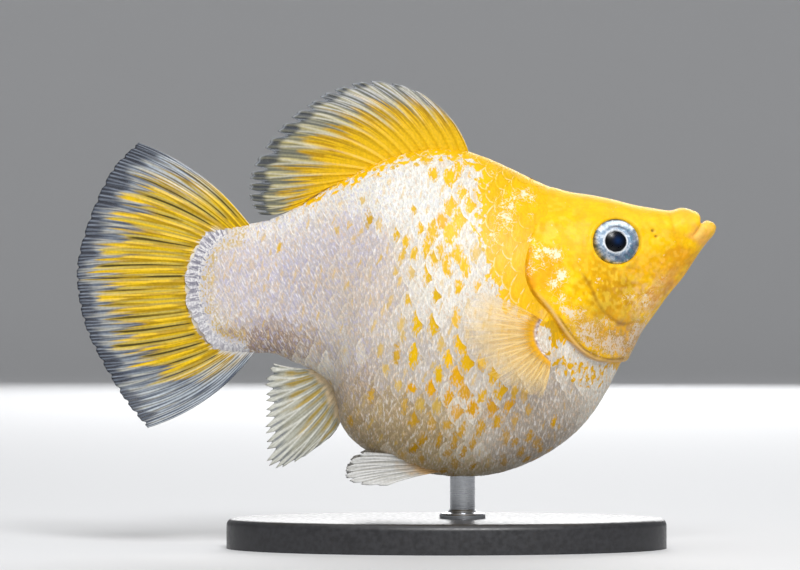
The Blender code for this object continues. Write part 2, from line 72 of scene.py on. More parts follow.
# Each rib of the body: back x and z, belly x and z, half width, how far up it is widest, and the
# roundness above and below that.
RIBS = np.array(
    (
        (-21.6, 31.5, -21.6, 20.3, 0.62, 0.50, 2.0, 2.0),
        (-18.2, 32.1, -18.2, 19.5, 1.35, 0.50, 2.0, 2.0),
        (-14.6, 32.5, -14.8, 19.4, 2.15, 0.50, 2.0, 2.0),
        (-12.2, 33.1, -12.4, 19.4, 2.75, 0.49, 1.9, 2.0),
        (-9.6, 34.4, -10.2, 18.5, 3.40, 0.48, 1.9, 2.0),
        (-7.0, 36.0, -8.2, 17.6, 4.15, 0.46, 1.8, 2.0),
        (-4.6, 37.3, -6.6, 16.2, 5.00, 0.44, 1.8, 2.1),
        (-2.4, 38.4, -5.95, 14.2, 5.80, 0.42, 1.8, 2.1),
        (-0.4, 39.2, -5.5, 12.2, 6.60, 0.41, 1.8, 2.1),
        (1.6, 39.7, -3.9, 10.3, 7.35, 0.40, 1.75, 2.2),
        (3.4, 39.95, -1.1, 8.8, 7.95, 0.40, 1.75, 2.2),
        (5.2, 39.95, 2.4, 7.6, 8.35, 0.40, 1.75, 2.2),
        (7.0, 39.75, 6.4, 7.1, 8.50, 0.40, 1.75, 2.2),
        (9.0, 39.1, 10.4, 7.5, 8.40, 0.41, 1.75, 2.2),
        (11.0, 38.25, 14.2, 8.9, 8.05, 0.43, 1.8, 2.1),
        (13.2, 37.2, 17.4, 11.0, 7.50, 0.46, 1.85, 2.0),
        (15.4, 36.2, 19.6, 13.3, 6.85, 0.50, 2.0, 1.95),
        (17.4, 35.6, 21.3, 16.0, 6.15, 0.54, 2.2, 1.9),
        (19.4, 35.3, 22.6, 18.6, 5.50, 0.59, 2.4, 1.85),
        (21.6, 34.85, 24.0, 20.9, 4.95, 0.64, 2.5, 1.8),
        (23.8, 34.3, 25.6, 23.1, 4.40, 0.66, 2.5, 1.8),
        (25.8, 33.95, 27.2, 25.3, 3.75, 0.66, 2.5, 1.85),
        (27.3, 33.75, 28.6, 27.0, 3.15, 0.65, 2.4, 1.9),
        (28.5, 34.02, 29.6, 28.5, 2.80, 0.64, 2.3, 2.0),
        (29.6, 33.75, 30.4, 29.7, 2.50, 0.62, 2.2, 2.0),
        (30.2, 33.25, 31.0, 30.5, 2.15, 0.60, 2.2, 2.0),
        (30.40, 32.50, 31.25, 30.80, 1.90, 0.58, 2.2, 2.0),
        (31.00, 32.66, 31.56, 31.12, 1.72, 0.56, 2.1, 2.0),
        (31.62, 32.56, 31.84, 31.58, 1.30, 0.54, 2.0, 2.0),
        (31.93, 32.20, 31.95, 32.02, 0.45, 0.50, 2.0, 2.0),
    )
)

GILL_OPENING = (
    (17.2, 42.0), (15.9, 37.0), (14.6, 33.6), (13.3, 30.3), (12.8, 27.8), (13.4, 25.7),
    (15.2, 23.5), (16.6, 21.4), (17.9, 19.95), (19.3, 19.05), (21.0, 18.7), (23.5, 18.75),
    (27.0, 18.7),
)
CHEEK_EDGE = (
    (17.3, 31.2), (18.1, 28.0), (19.3, 26.0), (20.2, 24.2), (21.3, 23.1), (22.5, 22.5), (23.6, 22.8),
)
MOUTH_SLIT = ((30.85, 34.2), (30.44, 32.7), (30.25, 32.15), (29.9, 31.6), (29.4, 31.0))
LIP_FOLD = ((27.1, 33.6), (27.4, 32.4), (27.7, 31.2), (28.2, 29.9), (29.0, 28.9))
GILL_RIM = ((15.6, 23.6), (16.95, 21.65), (18.15, 20.25), (19.45, 19.4), (21.0, 19.05), (23.2, 19.2))
STALK_END = (
    (-14.8, 32.5), (-16.5, 32.4), (-17.9, 32.0), (-19.1, 31.0), (-20.0, 29.6), (-20.55, 28.0),
    (-20.75, 26.0), (-20.45, 24.0), (-19.75, 22.0), (-18.65, 20.5), (-17.3, 19.6), (-15.8, 19.3),
    (-14.3, 19.4),
)
EYE = (21.78, 30.6)
PECTORAL_ROOT = ((14.6, 22.7), (14.2, 21.6), (14.4, 20.3), (15.2, 19.1))
DORSAL_ROOT = ((7.2, 39.7), (3.4, 40.0), (-0.4, 39.2), (-4.6, 37.3), (-8.9, 34.8))
YELLOW_EDGE = (
    (5.8, 41.5), (6.6, 39.6), (7.6, 38.4), (8.2, 36.0), (8.2, 31.3), (8.2, 30.3), (8.9, 28.9),
    (9.1, 27.4), (9.8, 26.2), (10.4, 24.8), (12.0, 23.4), (14.2, 22.2),
)

# Patches of solid yellow on the breast: middle x and z, half width, half height and tilt.
YELLOW_ISLANDS = (
    (17.6, 18.0, 1.5, 0.55, -28),
    (19.2, 17.4, 1.0, 0.45, 10),
    (15.6, 20.6, 0.35, 1.2, 20),
)

# The yellow marks that stand out on the flank: middle x and z, width, height, lean in degrees, how
# strong it is, and the number of its Tone.
MARKS = (
    (-2.65, 32.35, 0.6, 1.3, 0, 0.75, 2), (-1.75, 31.7, 0.5, 0.9, 0, 0.3, 0),
    (-1.05, 31.05, 0.4, 0.9, 0, 0.6, 0), (0.35, 31.4, 0.5, 1.3, 5, 0.8, 0),
    (1.45, 33.05, 0.65, 0.8, 0, 0.95, 1), (0.85, 30.1, 0.6, 1.0, 10, 0.75, 0),
    (0.65, 29.1, 0.4, 1.4, 12, 0.6, 0), (1.85, 31.4, 0.6, 1.8, 12, 0.85, 0),
    (1.55, 29.1, 0.6, 1.1, 0, 0.75, 0), (2.25, 34.0, 0.4, 1.3, 0, 0.75, 0),
    (2.75, 31.7, 0.5, 1.2, 0, 0.85, 0), (3.55, 31.3, 0.7, 2.0, 0, 0.95, 0),
    (3.05, 29.8, 0.6, 1.4, 0, 0.9, 0), (3.15, 27.5, 0.6, 1.8, 0, 0.85, 0),
    (3.75, 29.0, 0.6, 1.3, 0, 0.8, 0), (4.45, 29.4, 0.5, 1.1, 0, 0.75, 0),
    (4.55, 32.3, 0.6, 1.2, 0, 0.95, 1), (4.8, 27.9, 0.7, 2.1, 0, 1, 0),
    (4.95, 31.2, 1.0, 1.8, 20, 1, 0), (2.0, 27.6, 0.5, 1.1, 0, 0.4, 0),
    (0.15, 27.4, 0.4, 0.7, 0, 0.5, 0), (-5.95, 31.4, 0.4, 0.6, 0, 0.45, 1),
    (-4.55, 31.8, 0.4, 0.6, 0, 0.45, 2), (-3.35, 34.4, 0.4, 0.7, 0, 0.5, 2),
    (5.45, 29.9, 0.6, 1.3, 0, 0.7, 0), (6.05, 29.2, 0.7, 1.4, 0, 0.8, 0),
    (6.6, 28.2, 0.8, 1.5, -8, 1, 0), (7.15, 30.0, 0.8, 1.4, 0, 0.8, 0),
    (7.85, 29.4, 0.6, 1.2, 0, 0.5, 0), (7.45, 27.2, 0.5, 1.0, 0, 0.5, 0),
    (8.1, 26.1, 0.5, 0.9, 0, 0.6, 0), (6.25, 25.8, 0.6, 1.1, 0, 0.8, 0),
    (7.05, 35.2, 0.6, 1.2, 0, 0.7, 0), (7.65, 34.0, 0.6, 1.3, -15, 0.85, 0),
    (6.05, 34.4, 1.1, 1.4, 20, 1, 0), (5.35, 33.5, 0.7, 1.8, 15, 1, 0),
    (6.25, 32.7, 0.8, 1.8, 15, 1, 0), (5.45, 31.9, 1.2, 1.8, 20, 1, 0),
    (4.45, 37.6, 1.3, 1.4, 0, 1, 0), (5.25, 36.8, 1.0, 1.2, 0, 0.9, 0),
    (3.65, 37.0, 0.8, 1.0, 0, 0.8, 0), (6.2, 37.7, 0.5, 1.1, 0, 0.8, 0),
    (2.95, 38.5, 0.8, 0.9, 0, 0.8, 0), (1.75, 38.7, 0.8, 0.7, 0, 0.7, 0),
    (4.35, 25.2, 0.6, 1.1, 0, 0.85, 0), (1.15, 24.8, 0.5, 0.9, 0, 0.7, 0),
    (0.6, 22.2, 0.5, 1.2, 0, 0.35, 0), (2.15, 22.6, 0.7, 2.0, 0, 1, 0),
    (3.8, 22.8, 0.8, 1.9, 0, 1, 0), (5.85, 22.8, 0.6, 1.6, 0, 0.6, 0),
    (1.7, 19.3, 0.75, 2.2, 0, 1, 0), (0.05, 19.2, 0.5, 1.5, 0, 0.7, 2),
    (-1.55, 19.3, 0.4, 1.1, 0, 0.4, 2), (4.45, 20.4, 0.5, 1.1, 0, 0.45, 0),
    (5.15, 19.4, 0.8, 1.4, 0, 0.85, 0), (6.05, 17.8, 0.9, 1.9, 0, 1, 1),
    (6.75, 20.5, 0.9, 1.8, -12, 0.95, 0), (7.25, 18.7, 1.2, 2.4, -8, 1, 0),
    (4.15, 17.6, 0.6, 1.4, 0, 0.8, 0), (3.45, 16.5, 0.6, 1.2, 0, 0.9, 1),
    (2.5, 16.0, 0.9, 0.8, 0, 0.9, 1), (1.45, 15.9, 0.7, 0.5, 0, 0.9, 1),
    (4.55, 16.0, 0.8, 1.7, 0, 0.95, 1), (5.35, 14.8, 0.7, 1.3, 0, 0.8, 1),
    (6.85, 16.0, 1.0, 1.2, 0, 0.7, 1), (8.75, 16.7, 1.2, 1.7, 0, 0.95, 0),
    (7.65, 14.8, 0.8, 1.1, 0, 0.8, 1), (8.45, 18.7, 0.6, 0.9, 0, 0.7, 0),
    (10.05, 17.6, 0.8, 1.4, 0, 0.8, 0), (10.85, 15.8, 1.0, 1.2, 0, 0.85, 0),
    (-11.85, 30.1, 0.4, 0.8, 0, 0.6, 0), (11.55, 14.4, 0.8, 0.9, 0, 0.7, 1),
    (9.55, 14.4, 0.8, 1.0, 0, 0.7, 1), (6.15, 13.6, 0.7, 1.0, 0, 0.6, 1),
    (3.95, 14.3, 0.6, 0.9, 0, 0.5, 1), (2.35, 14.4, 0.5, 0.8, 0, 0.5, 1),
    (0.25, 16.4, 0.5, 0.8, 0, 0.45, 1), (-1.05, 17.7, 0.5, 0.9, 0, 0.35, 2),
    (0.55, 21.1, 0.4, 0.9, 0, 0.3, 0),
)

# Where the yellow is broken by white flecks: middle x and z, half width, half height, tilt in
# degrees and how strongly.
FLECKS = (
    (13.35, 30.8, 0.25, 0.2, 0, 1.0), (13.9, 29.4, 0.55, 0.75, 0, 0.95), (15.6, 29.3, 0.75, 0.6, 0, 0.9),
    (14.8, 29.6, 0.6, 0.35, -15, 0.8), (13.3, 27.8, 0.45, 0.6, 0, 0.75), (14.2, 28.1, 0.5, 0.4, 0, 0.7),
    (15.4, 26.3, 0.6, 0.6, 0, 0.8), (16.2, 27.2, 0.7, 0.6, -40, 0.8), (16.9, 23.6, 0.5, 1.7, 48, 0.75),
    (16.2, 24.8, 0.5, 0.8, 30, 0.7), (18.9, 21.7, 1.5, 0.9, -35, 0.85), (21.2, 20.6, 1.7, 1.0, -10, 0.9),
    (23.8, 21.6, 0.6, 2.2, -36, 0.9), (18.0, 23.4, 0.6, 0.7, 0, 0.7), (20.6, 22.6, 0.9, 0.5, -20, 0.6),
    (10.75, 33.4, 0.85, 1.5, 0, 0.95), (12.8, 35.2, 0.8, 0.6, -20, 0.9), (11.5, 35.1, 0.5, 0.4, 0, 0.75),
    (13.2, 33.1, 0.2, 0.6, -10, 0.7), (13.8, 34.9, 0.2, 0.4, 20, 0.6), (11.6, 30.1, 0.5, 0.2, 0, 0.4),
    (11.0, 27.6, 0.6, 0.35, 0, 0.45), (9.3, 31.2, 0.35, 1.2, 12, 0.75), (24.6, 24.6, 0.8, 1.5, -38, 0.55),
    (26.2, 26.6, 0.5, 1.0, -38, 0.3), (23.0, 25.0, 0.9, 0.6, 20, 0.45), (9.6, 37.5, 0.5, 0.5, 0, 0.5),
    (18.5, 20.9, 1.7, 0.5, -42, 0.85), (21.7, 19.8, 1.9, 0.55, -3, 0.85),
)


class Side(Enum):
    """A side of the fish, and the sign of its Y."""

    RIGHT = -1
    LEFT = 1

    @property
    def word(self) -> str:
        """The side's name in lower case, as the nodes have it."""
        return self.name.lower()


class Tone(IntEnum):
    """What yellow a mark on a scale has."""

    GOLD = 0
    ORANGE = 1
    OLIVE = 2
    FAINT = 3
    FLANK = 4


def smooth_step(x: Rows) -> Rows:
    """0 below 0, 1 above 1, and a smooth rise between."""
    x = np.clip(x, 0.0, 1.0)
    return x * x * (3 - 2 * x)


def bell(x: Rows) -> Rows:
    """1 at 0, falling smoothly to nothing by about 2 on each side."""
    return np.exp(-(x**2))


def blended(a: Rows, b: Rows, share: Rows) -> Rows:
    """a where share is 0, b where it is 1, row by row."""
    return a + (np.asarray(b) - a) * np.asarray(share)[..., None]


def in_oval(spots: Rows, x: float, z: float, wide: float, tall: float, tilt: float) -> Rows:
    """How far out spots are in a tilted oval.

    Args:
        spots: x and z, one spot a row.
        x: the oval's middle, forward.
        z: the oval's middle, upward.
        wide: its half width.
        tall: its half height.
        tilt: how far it is turned, in degrees.

    Returns:
        0 at its middle, 1 on its rim and more outside, one number for each spot.
    """
    turn = math.radians(tilt)
    dx, dz = spots[:, 0] - x, spots[:, 1] - z
    across = (dx * math.cos(turn) + dz * math.sin(turn)) / wide
    upward = (dz * math.cos(turn) - dx * math.sin(turn)) / tall
    return np.hypot(across, upward)


def spline(points: Rows, place: Rows) -> Rows:
    """Rows on a smooth line through rows of numbers.

    Args:
        points: one row for each knot.
        place: where on the line: 0 is the first knot, 1 the next, and so on.

    Returns:
        One row for each place.
    """
    points, place = np.asarray(points, dtype=float), np.asarray(place, dtype=float)
    last = len(points) - 1
    start = np.clip(np.floor(place).astype(int), 0, last - 1)
    f = (place - start)[..., None]
    near = [points[np.clip(start + step, 0, last)] for step in (-1, 0, 1, 2)]
    weights = (
        (-f + 2 * f**2 - f**3) / 2,
        (2 - 5 * f**2 + 3 * f**3) / 2,
        (f + 4 * f**2 - 3 * f**3) / 2,
        (f**3 - f**2) / 2,
    )
    return sum(weight * knot for weight, knot in zip(weights, near))


def colour(red: int, green: int, blue: int) -> Rows:
    """A colour given as 0 to 255 on a screen, as linear light."""
    shown = np.array((red, green, blue)) / 255
    return np.where(shown <= 0.04045, shown / 12.92, ((shown + 0.055) / 1.055) ** 2.4)


class Layers:
    """Rows of colours, over which one tint after another is laid."""

    def __init__(self, ground: Rows, count: int) -> None:
        """Starts with the same colour on each of count rows."""
        self.rows = np.tile(ground, (count, 1))

    def lay(self, tint: Rows, share: Rows) -> None:
        """Lays a tint over the rows, so that it hides them where share is 1."""
        self.rows = blended(self.rows, tint, share)


@dataclass(frozen=True)
class Line:
    """A smooth line in the side view, drawn from a few points."""

    points: tuple[tuple[float, float], ...]
    steps: int = 8

    def drawn(self) -> Rows:
        """The line as many short straight pieces, one corner a row."""
        places = np.linspace(0, len(self.points) - 1, (len(self.points) - 1) * self.steps + 1)
        return spline(np.array(self.points), places)

    def off(self, spots: Rows) -> tuple[Rows, Rows]:
        """How far spots are from the line.

        Args:
            spots: x and z, one spot a row.

        Returns:
            The distance, above 0 on the left of the line's direction, and the share of the
            line's pieces that lie before the nearest point.
        """
        corners = self.drawn()
        best = np.full(len(spots), np.inf)
        share = np.zeros(len(spots))
        for number, (a, b) in enumerate(zip(corners, corners[1:])):
            piece, away = b - a, spots - a
            f = np.clip(away @ piece / (piece @ piece), 0.0, 1.0)
            gap = away - f[:, None] * piece
            length = np.hypot(gap[:, 0], gap[:, 1])
            nearer = length < np.abs(best)
            left = piece[0] * gap[:, 1] - piece[1] * gap[:, 0]
            best = np.where(nearer, np.where(left < 0, -length, length), best)
            share = np.where(nearer, (number + f) / (len(corners) - 1), share)
        return best, share


class Grain:
    """Smooth seeded noise between 0 and 1 in three dimensions, which repeats after 32 cells."""

    def __init__(self, seed: int) -> None:
        """Draws the noise from a seed."""
        self.cells = np.random.default_rng(seed).random((32, 32, 32))

    def at(self, points: Rows, size: float | tuple[float, float, float]) -> Rows:
        """The noise at some points.

        Args:
            points: x, y and z in millimetres, one point a row.
            size: the width of a cell in millimetres, in all directions or in each.

        Returns:
            One number for each point.
        """
        place = points / np.asarray(size, dtype=float)
        low = np.floor(place).astype(int)
        f = place - low
        f = f * f * (3 - 2 * f)
        total = np.zeros(len(points))
        for corner in np.ndindex(2, 2, 2):
            weight = np.prod(np.where(corner, f, 1 - f), axis=1)
            cell = (low + corner) % 32
            total += weight * self.cells[cell[:, 0], cell[:, 1], cell[:, 2]]
        return total


@dataclass(frozen=True)
class Body:
    """The smooth form under the skin: rounded sections on a row of ribs."""

    ribs: Rows = field(default_factory=lambda: RIBS)
    quarter: int = 91

    def surface(self, place: Rows, turn: Rows) -> Rows:
        """Points of the body in millimetres.

        Args:
            place: along the body, from 0 at the tail to 29 at the snout.
            turn: round the section, 0 at the widest of the left side and up over the back.

        Returns:
            x, y and z, one point a row.
        """
        rib = spline(self.ribs, place)
        high, wide = np.sin(turn), np.cos(turn)
        over = high > 0
        power = 2 / np.where(over, rib[..., 6], rib[..., 7])
        reach = np.where(over, 1 - rib[..., 5], rib[..., 5])
        up = rib[..., 5] + np.sign(high) * reach * np.abs(high) ** power
        across = np.sign(wide) * rib[..., 4] * np.abs(wide) ** power
        middle = rib[..., 2:4] + (rib[..., 0:2] - rib[..., 2:4]) * up[..., None]
        return np.stack((middle[..., 0], across, middle[..., 1]), axis=-1)

    def outward(self, place: Rows, turn: Rows) -> Rows:
        """The direction straight out of the body at some points, one a row.

        Args:
            place: along the body, from 0 at the tail to 29 at the snout.
            turn: round the section, 0 at the widest of the left side and up over the back.

        Returns:
            One direction of length 1 for each point.
        """
        along = self.surface(place + 0.06, turn) - self.surface(place - 0.06, turn)
        round_it = self.surface(place, turn + 0.02) - self.surface(place, turn - 0.02)
        way = np.cross(round_it, along)
        return way / np.maximum(np.linalg.norm(way, axis=-1, keepdims=True), 1e-9)

    def girth(self, place: Rows) -> tuple[Rows, Rows]:
        """How long the skin is round the left side of some sections.

        Returns:
            The turns that were sampled, and for each place the length up to each of them
            from the widest point, below 0 towards the belly.
        """
        turns = np.linspace(-math.pi / 2, math.pi / 2, 2 * self.quarter - 1)
        points = self.surface(np.asarray(place)[:, None], turns[None, :])
        steps = np.linalg.norm(np.diff(points, axis=1), axis=2)
        length = np.concatenate((np.zeros((len(points), 1)), np.cumsum(steps, axis=1)), axis=1)
        return turns, length - length[:, self.quarter - 1 : self.quarter]

    def under(self, spots: Rows) -> tuple[Rows, Rows]:
        """The place and turn on the left side that lie at some spots of the side view.

        Args:
            spots: x and z in millimetres, one spot a row.

        Returns:
            The places, and the turns.
        """
        low, high = np.zeros(len(spots)), np.full(len(spots), len(self.ribs) - 1.0)
        for _ in range(26):
            middle = (low + high) / 2
            rib = spline(self.ribs, middle)
            rise = rib[:, 0:2] - rib[:, 2:4]
            away = spots - rib[:, 2:4]
            ahead = away[:, 0] * rise[:, 1] - away[:, 1] * rise[:, 0] > 0
            low, high = np.where(ahead, middle, low), np.where(ahead, high, middle)
        rib = spline(self.ribs, low)
        rise = rib[:, 0:2] - rib[:, 2:4]
        up = np.sum((spots - rib[:, 2:4]) * rise, axis=1) / np.sum(rise**2, axis=1)
        over = up > rib[:, 5]
        reach = np.where(over, (up - rib[:, 5]) / (1 - rib[:, 5]), (rib[:, 5] - up) / rib[:, 5])
        power = np.where(over, rib[:, 6], rib[:, 7]) / 2
        turn = np.arcsin(np.clip(reach, 0.0, 1.0) ** power)
        return low, np.where(over, turn, -turn)


@dataclass(frozen=True)
class Relief:
    """The folds and edges of the head and the roots of the fins, as heights over the body."""

    gill: Line = Line(GILL_OPENING)
    cheek: Line = Line(CHEEK_EDGE)
    slit: Line = Line(MOUTH_SLIT)
    lip: Line = Line(LIP_FOLD)
    rim: Line = Line(GILL_RIM)
    stalk: Line = Line(STALK_END)
    shoulder: Line = Line(PECTORAL_ROOT)
    cover_rise: float = 0.42
    cover_spread: float = 4.2
    orbit: float = 2.30
    orbit_squash: float = 1.045
    nostrils: tuple[tuple[float, float, float], ...] = ((25.4, 31.7, 0.16), (25.72, 31.12, 0.13))
    stalk_front: float = -14.6
    far_ahead: float = 9.0

    def tail_root(self, points: Rows) -> tuple[Rows, Rows]:
        """How far points are in front of the tail fin's root, below 0 behind it, and where along it."""
        away, share = self.stalk.off(points[:, [0, 2]])
        return np.where(points[:, 0] > self.stalk_front, self.far_ahead, away), share

    def before_tail(self, points: Rows) -> Rows:
        """How far points are in front of the root of the tail fin, below 0 behind it."""
        return self.tail_root(points)[0]

    def height(self, points: Rows, trunk_only: bool = False) -> Rows:
        """How far the skin stands out of the body.

        Args:
            points: x, y and z on the body in millimetres, one point a row.
            trunk_only: leaves out the gill cover, for what lies under it.

        Returns:
            One height in millimetres for each point.
        """
        spots = points[:, [0, 2]]
        x, z = spots.T
        sideways = smooth_step(np.abs(points[:, 1]) / 1.6)
        shoulder, _ = self.shoulder.off(spots)
        rise = 0.45 * bell((shoulder - 0.1) / 0.85) * sideways
        if trunk_only:
            return rise
        gill, along = self.gill.off(spots)
        fade = smooth_step((31.8 - z) / 3.6) * smooth_step((z - 18.3) / 0.8)
        beneath = np.maximum(sideways, 0.85 * smooth_step((22.6 - z) / 2.2))
        cover = smooth_step(1 - np.maximum(gill, 0.0) / self.cover_spread)
        cover = cover * smooth_step((gill + 0.24) / 0.3)
        rise = np.where(gill > 0, 0.0, rise) + self.cover_rise * cover * fade * beneath
        rise -= 0.10 * bell((gill + 0.28) / 0.22) * fade * sideways
        rim, _ = self.rim.off(spots)
        rise -= 0.09 * bell(rim / 0.13) * sideways
        cheek, share = self.cheek.off(spots)
        crease = smooth_step((share - 0.08) / 0.35) * smooth_step((1 - share) / 0.1)
        plate = smooth_step((cheek + 0.25) / 0.3) * bell(np.maximum(cheek, 0) / 1.6)
        rise += crease * sideways * (0.13 * plate)
        rise -= 0.09 * crease * bell((cheek + 0.2) / 0.25) * sideways
        lip, share = self.lip.off(spots)
        lip_ends = smooth_step(share / 0.25) * smooth_step((1 - share) / 0.2)
        rise -= 0.08 * bell(lip / 0.30) * lip_ends * sideways
        slit, share = self.slit.off(spots)
        open_mouth = smooth_step((1 - share) / 0.16) * smooth_step((x - 28.6) / 0.5)
        roll = 0.09 * bell((np.abs(slit) - 0.55) / 0.38)
        rise += roll * open_mouth * smooth_step((31.9 - x) / 0.6)
        rise -= 0.17 * bell(slit / 0.15) * open_mouth * smooth_step((31.7 - x) / 0.5)
        away = np.hypot(x - EYE[0], (z - EYE[1]) * self.orbit_squash)
        rise += 0.12 * bell((away - self.orbit - 0.34) / 0.30)
        rise -= 0.95 * smooth_step((self.orbit + 0.15 - away) / 0.30)
        for nx, nz, radius in self.nostrils:
            rise -= 0.22 * bell(np.hypot(x - nx, z - nz) / radius)
        return rise


@dataclass(frozen=True)
class Wash:
    """A soft patch of colour in the side view."""

    x: float
    z: float
    wide: float
    tall: float
    tint: Rows
    weight: float = 1.0
    tilt: float = 0.0

    def lay(self, made: Layers, spots: Rows, ragged: Rows) -> None:
        """Lays the patch over the colours of some spots; ragged, about 0, frays its edge."""
        away = in_oval(spots, self.x, self.z, self.wide, self.tall, self.tilt) + ragged
        made.lay(self.tint, self.weight * smooth_step(1.5 - away))


@dataclass(frozen=True)
class Stroke:
    """A thin line of colour in the side view."""

    line: Line
    width: float
    tint: Rows
    weight: float = 1.0
    shift: float = 0.0

    def lay(self, made: Layers, spots: Rows, ragged: Rows) -> None:
        """Draws the line over the colours of some spots.

        Args:
            made: the colours so far, one row a spot.
            spots: x and z, one spot a row.
            ragged: noise about 0 that makes the line uneven.
        """
        away, share = self.line.off(spots)
        ends = smooth_step(share / 0.12) * smooth_step((1 - share) / 0.12)
        worn = np.clip(1 + ragged, 0.0, 1.3)
        drawn = self.weight * bell((away - self.shift) / self.width) * ends * worn
        made.lay(self.tint, np.clip(drawn, 0, 1))


@dataclass(frozen=True)
class Speckle:
    """A round zone of fine specks in the side view."""

    x: float
    z: float
    wide: float
    tint: Rows
    weight: float
    size: float

    def lay(self, made: Layers, points: Rows, grain: Grain) -> None:
        """Strews the specks over the colours of some points.

        Args:
            made: the colours so far, one row a point.
            points: x, y and z in millimetres, one point a row.
            grain: the noise that the specks are cut from.
        """
        zone = bell(np.hypot(points[:, 0] - self.x, points[:, 2] - self.z) / self.wide)
        speck = smooth_step((grain.at(points + self.size * 9, self.size) - 0.50) / 0.16)
        made.lay(self.tint, self.weight * zone * speck)


@dataclass(frozen=True)
class Markings:
    """The colours of skin and scales, drawn once in the side view for both."""

    gold: Rows = field(default_factory=lambda: colour(244, 190, 2))
    deep_gold: Rows = field(default_factory=lambda: colour(202, 150, 22))
    cream: Rows = field(default_factory=lambda: colour(246, 238, 222))
    dulled: float = 0.82
    grain: Grain = field(default_factory=lambda: Grain(7))
    fray: Grain = field(default_factory=lambda: Grain(19))

    def trunk_washes(self) -> tuple[Wash, ...]:
        """The patches of the white flank and belly, from the tail forward."""
        return (
            Wash(-12.0, 26.0, 7.0, 6.0, colour(222, 212, 216), 0.9),
            Wash(-8.0, 28.0, 3.0, 3.0, colour(200, 196, 212), 0.6, 20),
            Wash(-14.0, 20.6, 7.0, 2.0, colour(168, 144, 128), 0.9),
            Wash(-8.0, 34.8, 7.0, 1.4, colour(250, 248, 246), 0.9, 28),
            Wash(-3.0, 26.5, 5.0, 6.0, colour(217, 203, 193), 0.85, 10),
            Wash(-4.5, 31.0, 3.5, 3.0, colour(210, 202, 212), 0.6),
            Wash(2.0, 35.0, 6.0, 3.4, colour(252, 250, 242), 0.95, -10),
            Wash(3.5, 18.5, 7.0, 4.0, colour(202, 190, 180), 0.75),
            Wash(-4.0, 15.0, 2.6, 4.5, colour(196, 178, 164), 0.85, -25),
            Wash(1.0, 12.0, 7.0, 3.6, colour(190, 163, 114), 0.9, -12),
            Wash(4.0, 8.0, 8.0, 1.8, colour(222, 198, 152), 0.9),
            Wash(14.0, 13.0, 5.0, 4.5, colour(180, 164, 148), 0.8, 35),
            Wash(5.5, 27.0, 3.0, 4.0, colour(252, 248, 238), 0.8, 15),
        )

    def head_washes(self) -> tuple[Wash, ...]:
        """The patches of the yellow head, from the nape down to the throat."""
        orange, peach = colour(234, 150, 6), colour(232, 166, 84)
        return (
            Wash(17.5, 35.0, 5.0, 1.4, colour(242, 186, 22), 0.8, -10),
            Wash(25.0, 32.6, 4.0, 1.0, colour(246, 194, 40), 0.8, -12),
            Wash(18.6, 30.6, 1.2, 2.6, colour(242, 188, 30), 0.6),
            Wash(13.6, 33.3, 1.1, 0.7, orange, 0.3),
            Wash(14.6, 32.1, 1.5, 0.6, orange, 0.35, -20),
            Wash(13.0, 25.8, 0.8, 2.2, orange, 0.5, 10),
            Wash(15.0, 27.8, 1.2, 2.4, colour(238, 172, 6), 0.8),
            Wash(24.2, 28.2, 2.0, 1.2, colour(234, 164, 10), 0.5, 35),
            Wash(20.2, 27.4, 1.8, 1.8, colour(216, 158, 8), 0.65),
            Wash(21.6, 25.0, 2.2, 1.6, colour(196, 142, 16), 0.75, 30),
            Wash(24.8, 24.8, 1.0, 2.0, colour(222, 172, 92), 0.6, -38),
            Wash(27.6, 28.0, 1.3, 2.8, colour(222, 144, 16), 0.65, -38),
            Wash(26.2, 25.8, 0.8, 2.0, colour(212, 150, 74), 0.7, -38),
            Wash(19.6, 21.6, 2.8, 1.5, colour(182, 138, 60), 0.75, -25),
            Wash(22.8, 21.2, 2.2, 1.9, colour(166, 128, 84), 0.85, 40),
            Wash(30.4, 31.2, 1.1, 1.0, peach, 0.7),
            Wash(31.2, 32.0, 0.6, 0.7, colour(244, 190, 92), 0.7),
            Wash(29.0, 33.5, 1.6, 0.8, colour(244, 192, 54), 0.8),
        )

    def strokes(self) -> tuple[Stroke, ...]:
        """The thin lines of the head, among them painted shade, painted shadow and a painted highlight."""
        rim_brown_and_painted_shadow, olive = colour(158, 80, 10), colour(160, 104, 12)
        return (
            # A rust-brown line just behind the gill cover's edge: partly the rim's own colour, partly
            # painted shadow under the edge.
            Stroke(Line(GILL_OPENING[3:]), 0.13, rim_brown_and_painted_shadow, 0.85, -0.12),
            # Painted shade: a deeper orange band along the gill cover's rear edge.
            Stroke(Line(GILL_OPENING[3:6]), 0.5, colour(232, 150, 8), 0.6, 0.1),
            Stroke(Line(GILL_OPENING[5:]), 0.16, colour(206, 170, 120), 0.8, 0.14),
            Stroke(Line(GILL_RIM), 0.11, colour(120, 76, 30), 0.75),
            Stroke(Line(CHEEK_EDGE[1:]), 0.15, olive, 0.5, -0.1),
            Stroke(Line(LIP_FOLD), 0.16, colour(226, 150, 20), 0.3),
            # Painted highlight: a pale line along the upper edge of the lower lip.
            Stroke(Line(MOUTH_SLIT[1:]), 0.30, colour(252, 216, 122), 0.45, 0.30),
            # Painted shade: a darker orange line down the mouth slit.
            Stroke(Line(MOUTH_SLIT[1:]), 0.10, colour(214, 140, 40), 0.4),
        )

    def speckles(self) -> tuple[Speckle, ...]:
        """The specks of the cheek, the jaw and the throat."""
        return (
            Speckle(21.6, 24.8, 4.0, colour(190, 132, 4), 0.75, 0.50),
            Speckle(24.9, 24.8, 2.6, colour(230, 192, 142), 0.60, 0.36),
            Speckle(20.5, 25.0, 5.0, colour(252, 218, 70), 0.50, 0.34),
            Speckle(15.0, 31.5, 3.0, colour(250, 212, 80), 0.50, 0.45),
            Speckle(26.5, 30.0, 3.0, colour(250, 206, 90), 0.35, 0.40),
            Speckle(20.5, 21.0, 3.0, colour(150, 104, 30), 0.60, 0.34),
            Speckle(21.5, 21.4, 3.2, colour(226, 166, 24), 0.70, 0.50),
        )

